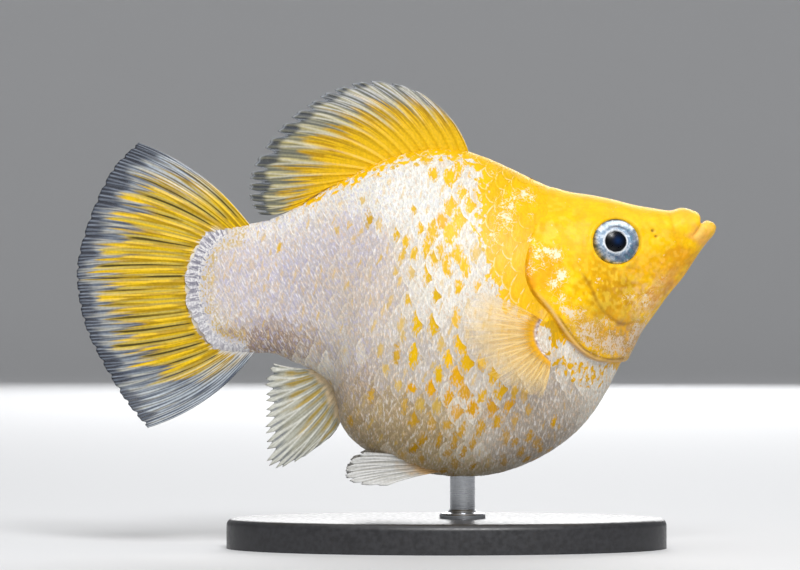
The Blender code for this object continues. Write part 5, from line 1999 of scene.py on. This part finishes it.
class FinPaint:
    """How each fin is coloured: what shows on a ray, between rays, near the root and at the edge."""

    grain: Grain = Grain(5)
    cream: Rows = colour(252, 248, 232)

    @classmethod
    def streaks(cls, ray: Rows, reach: Rows, across: float, along: float, seed: float = 0.0) -> Rows:
        """Noise about 0 that runs out along the rays."""
        places = np.stack((ray * across + seed, reach * along, np.full(len(ray), seed)), axis=1)
        return cls.grain.at(places, 1.0) - 0.5

    @classmethod
    def tail(cls, fan: Fan, ray: Rows, reach: Rows, points: Rows) -> tuple[Rows, Rows]:
        """Yellow bundles with pale threads and olive gaps, then a smoky edge with fine lines.

        Args:
            fan: the lines of the fin.
            ray: where across the fin the points are, counted in rays.
            reach: how far out they are, 1 at the tips.
            points: x, y and z in millimetres, one point a row; not used.

        Returns:
            The colours and how opaque the fin is, for each point.
        """
        away, branch = np.abs(fan.offset(ray)), fan.branch(ray, reach)
        ragged, fine = cls.streaks(ray, reach, 2.6, 3.0), cls.streaks(ray, reach, 9.0, 4.0, 7.0)
        hair = cls.streaks(ray, reach, 17.0, 5.0, 4.0)
        threads = np.abs((ray * 4 + 0.8 * ragged) % 1.0 - 0.5)
        share = ray / (fan.rays - 1)
        limit = np.interp(
            share,
            (0, 0.05, 0.12, 0.3, 0.55, 0.72, 0.84, 0.92, 1),
            (0.62, 0.70, 0.78, 0.82, 0.80, 0.74, 0.62, 0.32, 0.0),
        )
        yellow = smooth_step((limit + 0.36 * ragged + 0.34 * fine - reach) / 0.22)
        begins = np.interp(share, (0, 0.3, 0.7, 1), (0.76, 0.84, 0.82, 0.90))
        edge = smooth_step((reach - begins - 0.3 * ragged) / 0.14)
        made = Layers(colour(78, 86, 102), len(ray))
        pale = np.clip(0.45 + 1.6 * hair + 0.8 * fine, 0, 1) * (1 - edge)
        made.lay(colour(156, 164, 170), 0.8 * pale)
        made.lay(colour(178, 142, 0), yellow)
        made.lay(colour(224, 184, 4), yellow * smooth_step((fine + 0.10) / 0.22))
        worn = smooth_step((cls.streaks(ray, reach, 1.1, 1.5, 21.0) + 0.24) / 0.2)
        between = bell((away - 0.34 + 0.03 * ragged) / 0.10) * smooth_step(0.9 + 1.5 * fine)
        made.lay(colour(168, 160, 96), 0.65 * yellow * between * smooth_step((reach - 0.02) / 0.1))
        made.lay(colour(150, 112, 10), 0.6 * yellow * bell(away / 0.03) * smooth_step(0.6 + 2 * hair))
        gap = smooth_step((away - 0.405 + 0.12 * fine) / 0.04) * worn
        made.lay(colour(40, 38, 20), 0.92 * yellow * gap * smooth_step((reach - 0.02) / 0.06))
        twin = bell((away - 0.30 + 0.05 * reach) / 0.028) * smooth_step(0.6 + 2.4 * hair)
        made.lay(colour(184, 176, 124), 0.45 * twin * smooth_step((reach - 0.12) / 0.2) * (1 - edge))
        lit = bell(branch / 0.045) * smooth_step((reach - 0.45) / 0.3)
        made.lay(cls.cream * 0.55, np.clip(lit * (0.28 + 0.42 * (1 - yellow)) * (1 - 0.6 * edge), 0, 1))
        white_edge = smooth_step((0.16 - share) / 0.10) * smooth_step((reach - 0.2) / 0.3)
        white_edge += smooth_step((share - 0.80) / 0.12)
        lobe = 0.8 * white_edge * (1 - edge) * smooth_step((0.30 - threads + 0.5 * fine) / 0.16)
        made.lay(colour(196, 204, 212), np.clip(0.9 * lobe, 0, 1))
        dim = 0.6 * white_edge * (1 - edge) * smooth_step((threads - 0.34 + 0.3 * fine) / 0.1)
        made.lay(colour(74, 80, 90), np.clip(dim, 0, 1))
        made.lay(colour(42, 46, 58), edge * (1 - 0.3 * pale))
        smoky = smooth_step((0.17 - threads + 0.25 * fine) / 0.10) * (0.6 + 1.2 * ragged)
        smoky = smoky + 0.5 * bell(branch / 0.05)
        made.lay(colour(138, 146, 158), edge * np.clip(smoky, 0, 0.8))
        root = smooth_step((0.035 + 0.08 * fine - reach) / 0.03) * smooth_step((share - 0.13) / 0.06)
        made.lay(colour(196, 196, 196), 0.8 * root)
        cover = 0.98 - 0.30 * edge * (1 - bell(branch / 0.07))
        cover = cover - 0.15 * (1 - yellow) * (1 - edge) * (1 - pale)
        return made.rows, cover

    @classmethod
    def dorsal(cls, fan: Fan, ray: Rows, reach: Rows, points: Rows) -> tuple[Rows, Rows]:
        """Solid yellow at the root, bundles of cream rays over it with painted light and shade on their
        sides, and slate fingers with pale rims.

        Args:
            fan: the lines of the fin.
            ray: where across the fin the points are, counted in rays.
            reach: how far out they are, 1 at the tips.
            points: x, y and z in millimetres, one point a row; not used.

        Returns:
            The colours and how opaque the fin is, for each point.
        """
        away, branch = np.abs(fan.offset(ray)), fan.branch(ray, reach)
        up = reach / fan.end(ray)
        ragged, fine = cls.streaks(ray, reach, 2.2, 3.0, 3.0), cls.streaks(ray, reach, 8.0, 5.0, 11.0)
        hair = cls.streaks(ray, reach, 15.0, 4.0, 9.0)
        share = ray / (fan.rays - 1)
        limit = np.interp(share, (0, 0.1, 0.4, 0.7, 1.0), (0.92, 0.80, 0.70, 0.68, 0.60))
        yellow = smooth_step((limit + 0.40 * ragged + 0.35 * fine - reach) / 0.28)
        begins = np.interp(share, (0, 0.4, 1), (0.95, 0.85, 0.74))
        edge = smooth_step((reach - begins - 0.12 * ragged) / 0.08)
        made = Layers(colour(110, 110, 92), len(ray))
        made.lay(colour(158, 158, 134), np.clip(0.3 + 2.0 * hair, 0, 0.85))
        made.lay(colour(218, 174, 4), yellow)
        furrow = smooth_step((0.02 - hair) / 0.2) * smooth_step((reach - 0.1) / 0.3)
        made.lay(colour(176, 134, 2), yellow * furrow)
        shade = smooth_step((away - 0.36 - 0.05 * fine) / 0.08) * smooth_step((reach - 0.40) / 0.3)
        made.lay(colour(116, 98, 30), 0.65 * yellow * shade)
        made.lay(colour(74, 80, 86), 0.45 * (1 - yellow) * shade)
        begun = smooth_step((reach - 0.26 - 0.3 * ragged) / 0.3)
        lit = begun * (1 - 0.8 * edge)
        # Painted light and shade: each ray is pale cream on its one side and darker gold on its other, as if
        # light fell across ridged rays.
        lee = fan.offset(ray)
        made.lay(colour(196, 180, 104), 0.7 * bell((lee + 0.12) / 0.11) * lit)
        made.lay(colour(150, 118, 22), 0.6 * bell((lee - 0.22) / 0.09) * smooth_step(reach / 0.4) * yellow)
        made.lay(colour(204, 184, 106), np.clip((0.5 * bell(branch / 0.10) + 0.9 * hair) * lit, 0, 0.6))
        front_white = smooth_step((0.62 - share) / 0.3) * smooth_step((reach - 0.5) / 0.25)
        made.lay(colour(198, 198, 190), (0.62 + 0.2 * front_white) * bell(branch / 0.06) * lit)
        made.lay(colour(194, 196, 206), 0.75 * front_white * np.clip(0.5 + 2 * hair, 0, 1))
        slate = edge * (1 - 0.4 * bell(branch / 0.04)) * (0.95 + 0.6 * hair)
        made.lay(colour(48, 54, 64), np.clip(slate, 0, 1))
        rim = smooth_step((up - 0.965) / 0.015) + bell((away - 0.37) / 0.035) * edge
        made.lay(colour(186, 192, 200), 0.45 * np.clip(rim, 0, 1))
        cover = 0.98 - 0.22 * edge * (1 - bell(branch / 0.08)) - 0.12 * (1 - yellow)
        return made.rows, np.clip(cover, 0.3, 1)

    @classmethod
    def anal(cls, fan: Fan, ray: Rows, reach: Rows, points: Rows) -> tuple[Rows, Rows]:
        """Opaque white rays with olive yellow between them near the root, and grey tips.

        Args:
            fan: the lines of the fin.
            ray: where across the fin the points are, counted in rays.
            reach: how far out they are, 1 at the tips.
            points: x, y and z in millimetres, one point a row; not used.

        Returns:
            The colours and how opaque the fin is, for each point.
        """
        away, branch = np.abs(fan.offset(ray)), fan.branch(ray, reach)
        ragged, hair = cls.streaks(ray, reach, 2.4, 4.0, 5.0), cls.streaks(ray, reach, 12.0, 4.0, 6.0)
        made = Layers(colour(138, 136, 118), len(ray))
        made.lay(colour(182, 182, 170), np.clip(0.45 + 1.8 * hair, 0, 1))
        between = smooth_step((away - 0.30 + 0.10 * ragged) / 0.10)
        near = smooth_step((0.72 + 0.7 * ragged - reach) / 0.4) * smooth_step((reach - 0.04) / 0.12)
        made.lay(colour(172, 142, 40), 0.85 * near * np.maximum(between, smooth_step((hair - 0.05) / 0.15)))
        made.lay(colour(112, 106, 72), 0.55 * near * smooth_step((away - 0.42) / 0.05))
        edge = smooth_step((reach - 0.72 - 0.2 * ragged) / 0.15)
        made.lay(colour(96, 104, 112), 0.8 * edge * smooth_step((branch - 0.07) / 0.05))
        made.lay(colour(212, 212, 204), 0.9 * bell(branch / 0.075) * smooth_step((reach - 0.12) / 0.15))
        tan = smooth_step((0.12 + 0.1 * ragged - reach) / 0.08)
        made.lay(colour(214, 190, 150), 0.8 * tan)
        return made.rows, 0.98 - 0.35 * edge * smooth_step((branch - 0.07) / 0.05)

    @classmethod
    def pelvic(cls, fan: Fan, ray: Rows, reach: Rows, points: Rows) -> tuple[Rows, Rows]:
        """Soft white with fine rays, amber at the root.

        Args:
            fan: the lines of the fin.
            ray: where across the fin the points are, counted in rays.
            reach: how far out they are, 1 at the tips.
            points: x, y and z in millimetres, one point a row.

        Returns:
            The colours and how opaque the fin is, for each point.
        """
        branch = fan.branch(ray, reach)
        ragged = cls.grain.at(points, 0.5) - 0.5
        hair = cls.streaks(ray, reach, 12.0, 3.0, 6.0)
        made = Layers(colour(172, 170, 164), len(ray))
        made.lay(colour(210, 210, 208), np.clip(bell(branch / 0.10) + 1.6 * hair, 0, 1))
        made.lay(colour(196, 150, 70), 0.8 * smooth_step((0.52 + 0.3 * ragged - reach) / 0.4))
        return made.rows, np.full(len(ray), 0.95)

    @classmethod
    def pectoral(cls, fan: Fan, ray: Rows, reach: Rows, points: Rows) -> tuple[Rows, Rows]:
        """Clear cream with soft rays, a golden root and a grey speckled shoulder.

        Args:
            fan: the lines of the fin.
            ray: where across the fin the points are, counted in rays.
            reach: how far out they are, 1 at the tips.
            points: x, y and z in millimetres, one point a row.

        Returns:
            The colours and how opaque the fin is, for each point.
        """
        branch, fine = fan.branch(ray, reach), cls.streaks(ray, reach, 8.0, 4.0, 2.0)
        speck = cls.grain.at(points, 0.28) - 0.5
        made = Layers(colour(246, 200, 92), len(ray))
        line = bell(branch / 0.10)
        made.lay(colour(250, 230, 176), 0.6 * line * smooth_step((reach - 0.16) / 0.1))
        made.lay(colour(238, 176, 24), smooth_step((0.24 + 0.2 * fine - reach) / 0.08))
        shoulder = smooth_step((0.105 - reach) / 0.03)
        made.lay(colour(208, 192, 190), shoulder)
        made.lay(colour(164, 132, 112), shoulder * smooth_step((speck - 0.06) / 0.1))
        made.lay(colour(250, 246, 240), shoulder * smooth_step((-0.12 - speck) / 0.1))
        cover = 0.36 + 0.11 * line + 0.22 * fine - 0.36 * smooth_step((reach - 0.30) / 0.7)
        return made.rows, np.clip(cover + 0.6 * smooth_step((0.24 - reach) / 0.12), 0.03, 1)


@dataclass
class Fins:
    """All eight fins."""

    body: Body
    tail_wave: float = 0.35
    fin_wave: float = 0.25
    pelvic_offset: float = 2.2
    pelvic_lean: float = 1.5
    pectoral_lift: float = 1.3
    pectoral_lean: float = 2.6
    pectoral_sink: float = 0.5
    paired_root: float = 0.30

    tail: Fan = Fan(
        rays=22,
        root=STALK_END,
        tips=(
            (-25.8, 40.55), (-28.4, 37.9), (-30.5, 33.6), (-31.85, 29.0), (-31.85, 25.6),
            (-31.0, 21.9), (-29.2, 18.2), (-27.0, 14.6), (-24.9, 12.0),
        ),
        bows=(-0.075, 0.0, 0.08),
        notch=(0.012, 0.018, 0.02),
        sunk=0.12,
    )
    dorsal: Fan = Fan(
        rays=17,
        root=DORSAL_ROOT,
        tips=(
            (4.25, 44.2), (2.6, 45.4), (0.6, 46.25), (-1.8, 46.7), (-3.8, 46.6), (-5.7, 46.05),
            (-7.25, 45.4), (-8.6, 44.5), (-10.15, 43.4), (-11.6, 42.0), (-12.9, 40.4),
            (-14.1, 38.5), (-14.6, 37.1), (-14.7, 36.0), (-14.65, 34.9), (-14.25, 34.0),
            (-13.7, 33.35),
        ),
        bows=(-0.07, -0.10, 0.12),
        notch=(0.05, 0.09, 0.17),
        sunk=0.12,
        forks=(0.45, 0.75),
        splay=(0.20, 0.07),
    )
    anal: Fan = Fan(
        rays=10,
        root=((-8.8, 17.9), (-7.4, 17.0), (-6.5, 16.1), (-6.05, 14.6), (-5.65, 12.5)),
        tips=(
            (-12.4, 18.5), (-13.1, 16.9), (-13.1, 15.2), (-13.1, 13.6), (-13.15, 11.8),
            (-13.0, 10.2), (-12.9, 8.3), (-11.6, 8.0), (-9.3, 9.1), (-6.7, 11.0),
        ),
        bows=(0.03, 0.03, 0.05),
        notch=(0.16, 0.16, 0.10),
        sunk=0.15,
        pointed=1.0,
    )
    pelvic: Fan = Fan(
        rays=7,
        root=((5.3, 8.5), (4.5, 7.7)),
        tips=((-3.2, 9.7), (-4.4, 9.0), (-5.0, 8.1), (-5.05, 7.3), (-4.4, 6.75), (-2.9, 6.45), (-0.9, 6.4)),
        bows=(-0.03, -0.03, -0.03),
        notch=(0.05, 0.07, 0.04),
        sunk=0.10,
    )
    pectoral: Fan = Fan(
        rays=12,
        root=PECTORAL_ROOT,
        tips=(
            (8.6, 25.6), (7.2, 25.1), (6.5, 24.0), (6.4, 22.6), (6.6, 21.1), (7.2, 19.7),
            (8.1, 18.5), (9.3, 17.4), (10.6, 16.6), (11.9, 16.0), (13.0, 15.6), (14.2, 15.2),
        ),
        bows=(-0.03, 0.0, 0.05),
        notch=(0.02, 0.02, 0.02),
        sunk=0.05,
        forks=(0.10, 0.42),
    )

    def sway(
        self, fan: Fan, wave: float, spots: Rows, ray: Rows, reach: Rows
    ) -> Rows:
        """How far to the side a fin in the middle plane sways: in one wave that grows to its tips."""
        return wave * np.sin(ray / (fan.rays - 1) * 2.2 * math.pi) * reach

    def beside_belly(self, spots: Rows, ray: Rows, reach: Rows) -> Rows:
        """How far out a pelvic fin lies: a little further all the way to its tips."""
        return self.pelvic_offset + self.pelvic_lean * reach

    def beside_flank(self, spots: Rows, ray: Rows, reach: Rows) -> Rows:
        """How far out a pectoral fin lies: it leaves the side at once, then follows it.

        Args:
            spots: x and z in millimetres, one spot a row.
            ray: where across the fin the points are, counted in rays; not used.
            reach: how far out they are, 1 at the tips.

        Returns:
            Millimetres from the middle plane, one number for each point.
        """
        place, turn = self.body.under(spots)
        side = self.body.surface(place, turn)[:, 1]
        lift = self.pectoral_lift * np.minimum(reach / 0.2, 1.0)
        return side + lift + self.pectoral_lean * reach - self.pectoral_sink

    def build(self) -> list[bpy.types.Object]:
        """Makes all the fins."""
        middle = (
            ("tail", self.tail, self.tail_wave, FinPaint.tail, "tail_membrane", 24, 64),
            ("dorsal", self.dorsal, self.fin_wave, FinPaint.dorsal, "dorsal_membrane", 20, 72),
            ("anal", self.anal, self.fin_wave, FinPaint.anal, "pale_membrane", 12, 56),
        )
        paired = (
            ("pelvic", self.pelvic, self.beside_belly, FinPaint.pelvic, "pale", 0.10, 44, 0.11),
            ("pectoral", self.pectoral, self.beside_flank, FinPaint.pectoral, "pectoral", 0.05, 50, 0.07),
        )
        fins = []
        for name, fan, wave, paint, slot, per_ray, rows in middle:
            finish = FinFinish(name + "_membrane")
            spread = partial(self.sway, fan, wave)
            fins.append(Fin(name + "_fin", fan, spread, paint, finish, slot, per_ray=per_ray, rows=rows))
        for side in Side:
            for name, fan, spread, paint, slot, veins, rows, ridge in paired:
                finish = FinFinish(name + "_membrane", veins=veins)
                fin = Fin(name + "_fin_" + side.word, fan, spread, paint, finish, slot + "_membrane")
                fin.side, fin.rows, fin.ridge, fin.root_half = side.value, rows, ridge, self.paired_root
                fins.append(fin)
        return [fin.build() for fin in fins]


def turned(outline: Sequence[tuple[float, float]], steps: int, gap: float) -> bmesh.types.BMesh:
    """An outline turned once round the vertical axis.

    Args:
        outline: the radius and height of each corner.
        steps: faces round the axis.
        gap: corners nearer to each other than this are merged.

    Returns:
        The turned shape.
    """
    bm = bmesh.new()
    corners = [bm.verts.new((radius, 0, height)) for radius, height in outline]
    edges = [bm.edges.new(pair) for pair in zip(corners, corners[1:])]
    bmesh.ops.spin(
        bm, geom=[*corners, *edges], axis=(0, 0, 1), angle=math.tau, steps=steps, use_merge=True
    )
    bmesh.ops.remove_doubles(bm, verts=bm.verts, dist=gap)
    bmesh.ops.recalc_face_normals(bm, faces=bm.faces)
    return bm


@dataclass
class Stand:
    """A black oval base with a steel rod up to the belly."""

    centre: float = 5.0
    length: float = 44.0
    width: float = 25.0
    height: float = 3.0
    edge: float = 0.7
    rod_x: float = 6.6
    rod_radius: float = 1.25
    rod_top: float = 7.35
    collar_radius: float = 2.3

    def base_material(self) -> bpy.types.Material:
        """Satin black lacquer with a fine grain."""
        wiring = Wiring("black_lacquer")
        grain = wiring.noise(wiring.in_mm(0.5), 3.0)
        shade = wiring.ranged(grain, 0.3, 0.7)
        wiring.join(wiring.mixed(shade, colour(34, 34, 36), colour(46, 46, 49)), "Base Color")
        wiring.join(wiring.ranged(grain, 0.3, 0.7, 0.34, 0.48), "Roughness")
        wiring.bump(grain, 0.00003, 0.25)
        wiring.set(Coat_Weight=0.15, Coat_Roughness=0.25)
        return wiring.material

    def rod_material(self) -> bpy.types.Material:
        """Steel turned on a lathe: fine rings round the rod."""
        wiring = Wiring("turned_steel")
        rings = wiring.noise(wiring.in_mm((6.0, 6.0, 0.06)), 2.0)
        shade = wiring.ranged(rings, 0.3, 0.7)
        wiring.join(wiring.mixed(shade, colour(168, 170, 174), colour(206, 208, 211)), "Base Color")
        wiring.join(wiring.ranged(rings, 0.3, 0.7, 0.22, 0.36), "Roughness")
        wiring.bump(rings, 0.00002, 0.3)
        wiring.set(Metallic=1.0)
        return wiring.material

    def base(self) -> bpy.types.Object:
        """The oval base: a disc drawn out to an oval, raised and rounded at its top edge."""
        bm = bmesh.new()
        ring = bmesh.ops.create_circle(bm, cap_ends=True, segments=160, radius=1.0)
        bmesh.ops.scale(bm, vec=(self.length / 2, self.width / 2, 1.0), verts=ring["verts"])
        top = bmesh.ops.extrude_face_region(bm, geom=list(bm.faces))
        raised = [item for item in top["geom"] if isinstance(item, bmesh.types.BMVert)]
        bmesh.ops.translate(bm, vec=(0, 0, self.height), verts=raised)
        edges = [edge for edge in bm.edges if all(vert.co.z > self.height / 2 for vert in edge.verts)]
        bmesh.ops.bevel(
            bm, geom=edges, offset=self.edge, segments=6, profile=0.5, affect="EDGES", material=-1
        )
        bmesh.ops.translate(bm, vec=(self.centre, 0, 0), verts=bm.verts)
        return self.finished(bm, "base_plate", self.base_material(), "stand_base")

    def rod(self) -> bpy.types.Object:
        """The rod with its small collar, turned from one outline."""
        foot = self.height
        outline = (
            (0.0, foot - 0.05),
            (self.collar_radius, foot - 0.05),
            (self.collar_radius, foot + 0.35),
            (self.collar_radius - 0.12, foot + 0.5),
            (self.rod_radius + 0.25, foot + 0.62),
            (self.rod_radius, foot + 0.9),
            (self.rod_radius, self.rod_top),
            (0.0, self.rod_top),
        )
        bm = turned(outline, 64, 0.001)
        bmesh.ops.translate(bm, vec=(self.rod_x, 0, 0), verts=bm.verts)
        return self.finished(bm, "support_rod", self.rod_material(), "stand_rod")

    def finished(
        self, bm: bmesh.types.BMesh, name: str, material: bpy.types.Material, node: str
    ) -> bpy.types.Object:
        """A turned or bevelled piece of the stand, in place of its node.

        Args:
            bm: its shape in millimetres.
            name: the piece's name.
            material: what it is made of.
            node: the node that it stands for.

        Returns:
            The finished object.
        """
        bmesh.ops.recalc_face_normals(bm, faces=bm.faces)
        bmesh.ops.scale(bm, vec=(MM, MM, MM), verts=bm.verts)
        mesh = bpy.data.meshes.new(name)
        bm.to_mesh(mesh)
        bm.free()
        piece = linked(name, mesh, material)
        mesh.set_sharp_from_angle(angle=math.radians(38))
        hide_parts(node)
        return piece

    def build(self) -> list[bpy.types.Object]:
        """Makes the base and the rod."""
        return [self.base(), self.rod()]


@dataclass
class Studio:
    """A pale floor that rises all round into a wall, soft lamps and the camera."""

    floor: float = 0.9
    wall: float = 1.3
    wall_top: float = 1.0
    lens: float = 200.0
    sensor: float = 36.0
    frame_width: float = 0.080
    aim: tuple[float, float] = (0.00035, 0.0263)

    def stage(self) -> None:
        """The floor and its rounded wall, turned round the object."""
        bend = self.wall - self.floor
        outline = [(0.0, 0.0), (self.floor * 0.5, 0.0)]
        for angle in (math.pi / 2 * step / 12 for step in range(13)):
            outline.append((self.floor + bend * math.sin(angle), bend * (1 - math.cos(angle))))
        outline.append((self.wall, self.wall_top))
        bm = turned(outline, 96, 1e-5)
        mesh = bpy.data.meshes.new("studio_floor")
        bm.to_mesh(mesh)
        bm.free()
        mesh.shade_smooth()
        wiring = Wiring("pale_paper")
        wiring.set(Base_Color=solid(colour(208, 209, 211)), Roughness=0.8)
        mesh.materials.append(wiring.material)
        obj = bpy.data.objects.new("studio_floor", mesh)
        bpy.context.scene.collection.objects.link(obj)

    def lamp(
        self, name: str, place: tuple[float, float, float], size: float, power: float, mirrored: bool = True
    ) -> None:
        """A round soft lamp that looks at the fish, and shows in its shiny parts if it is mirrored.

        Args:
            name: its name.
            place: where it stands, in metres.
            size: how wide it is, in metres.
            power: how strong it is, in watts.
            mirrored: whether it shows in shiny parts.
        """
        data = bpy.data.lights.new(name, "AREA")
        data.shape, data.size, data.energy = "DISK", size, power
        obj = bpy.data.objects.new(name, data)
        obj.location = place
        aim = Vector((0.0, 0.0, 0.025)) - Vector(place)
        obj.rotation_mode = "QUATERNION"
        obj.rotation_quaternion = aim.to_track_quat("-Z", "Y")
        obj.visible_camera = False
        obj.visible_glossy = mirrored
        bpy.context.scene.collection.objects.link(obj)

    def camera(self) -> None:
        """A long lens level with the fish's middle."""
        data = bpy.data.cameras.new("camera")
        data.lens, data.sensor_width = self.lens, self.sensor
        data.clip_start, data.clip_end = 0.01, 10.0
        obj = bpy.data.objects.new("camera", data)
        obj.location = (self.aim[0], -self.frame_width * self.lens / self.sensor, self.aim[1])
        obj.rotation_euler = (math.pi / 2, 0, 0)
        bpy.context.scene.collection.objects.link(obj)
        bpy.context.scene.camera = obj

    def build(self) -> None:
        """Sets up the room."""
        self.stage()
        self.camera()
        self.lamp("key", (0.05, -0.52, 0.52), 0.34, 3.1)
        self.lamp("spark", (0.12, -0.48, 0.375), 0.11, 0.95)
        self.lamp("low", (0.25, -0.60, 0.03), 0.32, 0.72, mirrored=False)
        self.lamp("back", (0.05, 0.62, 0.30), 0.50, 2.4)
        self.lamp("top", (0.0, 0.0, 0.80), 0.60, 1.3)
        world = bpy.data.worlds.new("studio")
        world.use_nodes = True
        light = world.node_tree.nodes["Background"].inputs
        light["Color"].default_value, light["Strength"].default_value = (1.0, 1.0, 1.0, 1.0), 0.28
        bpy.context.scene.world = world
        bpy.context.scene.view_settings.view_transform = "Standard"


def main() -> None:
    """Loads the frame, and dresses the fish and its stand."""
    logging.basicConfig(level=logging.INFO, format="%(name)s: %(message)s")
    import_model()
    body, relief, markings = Body(), Relief(), Markings()
    Studio().build()
    pieces: list[bpy.types.Object] = [Skin(body, relief, markings).build()]
    pieces += Coat(body, relief, markings).build()
    for side in Side:
        pieces += Eye(body, side).build()
    pieces += Fins(body).build()
    pieces += Stand().build()
    for piece in pieces:
        log.info("%s has %d corners", piece.name, len(piece.data.vertices))


if __name__ == "__main__":
    main()
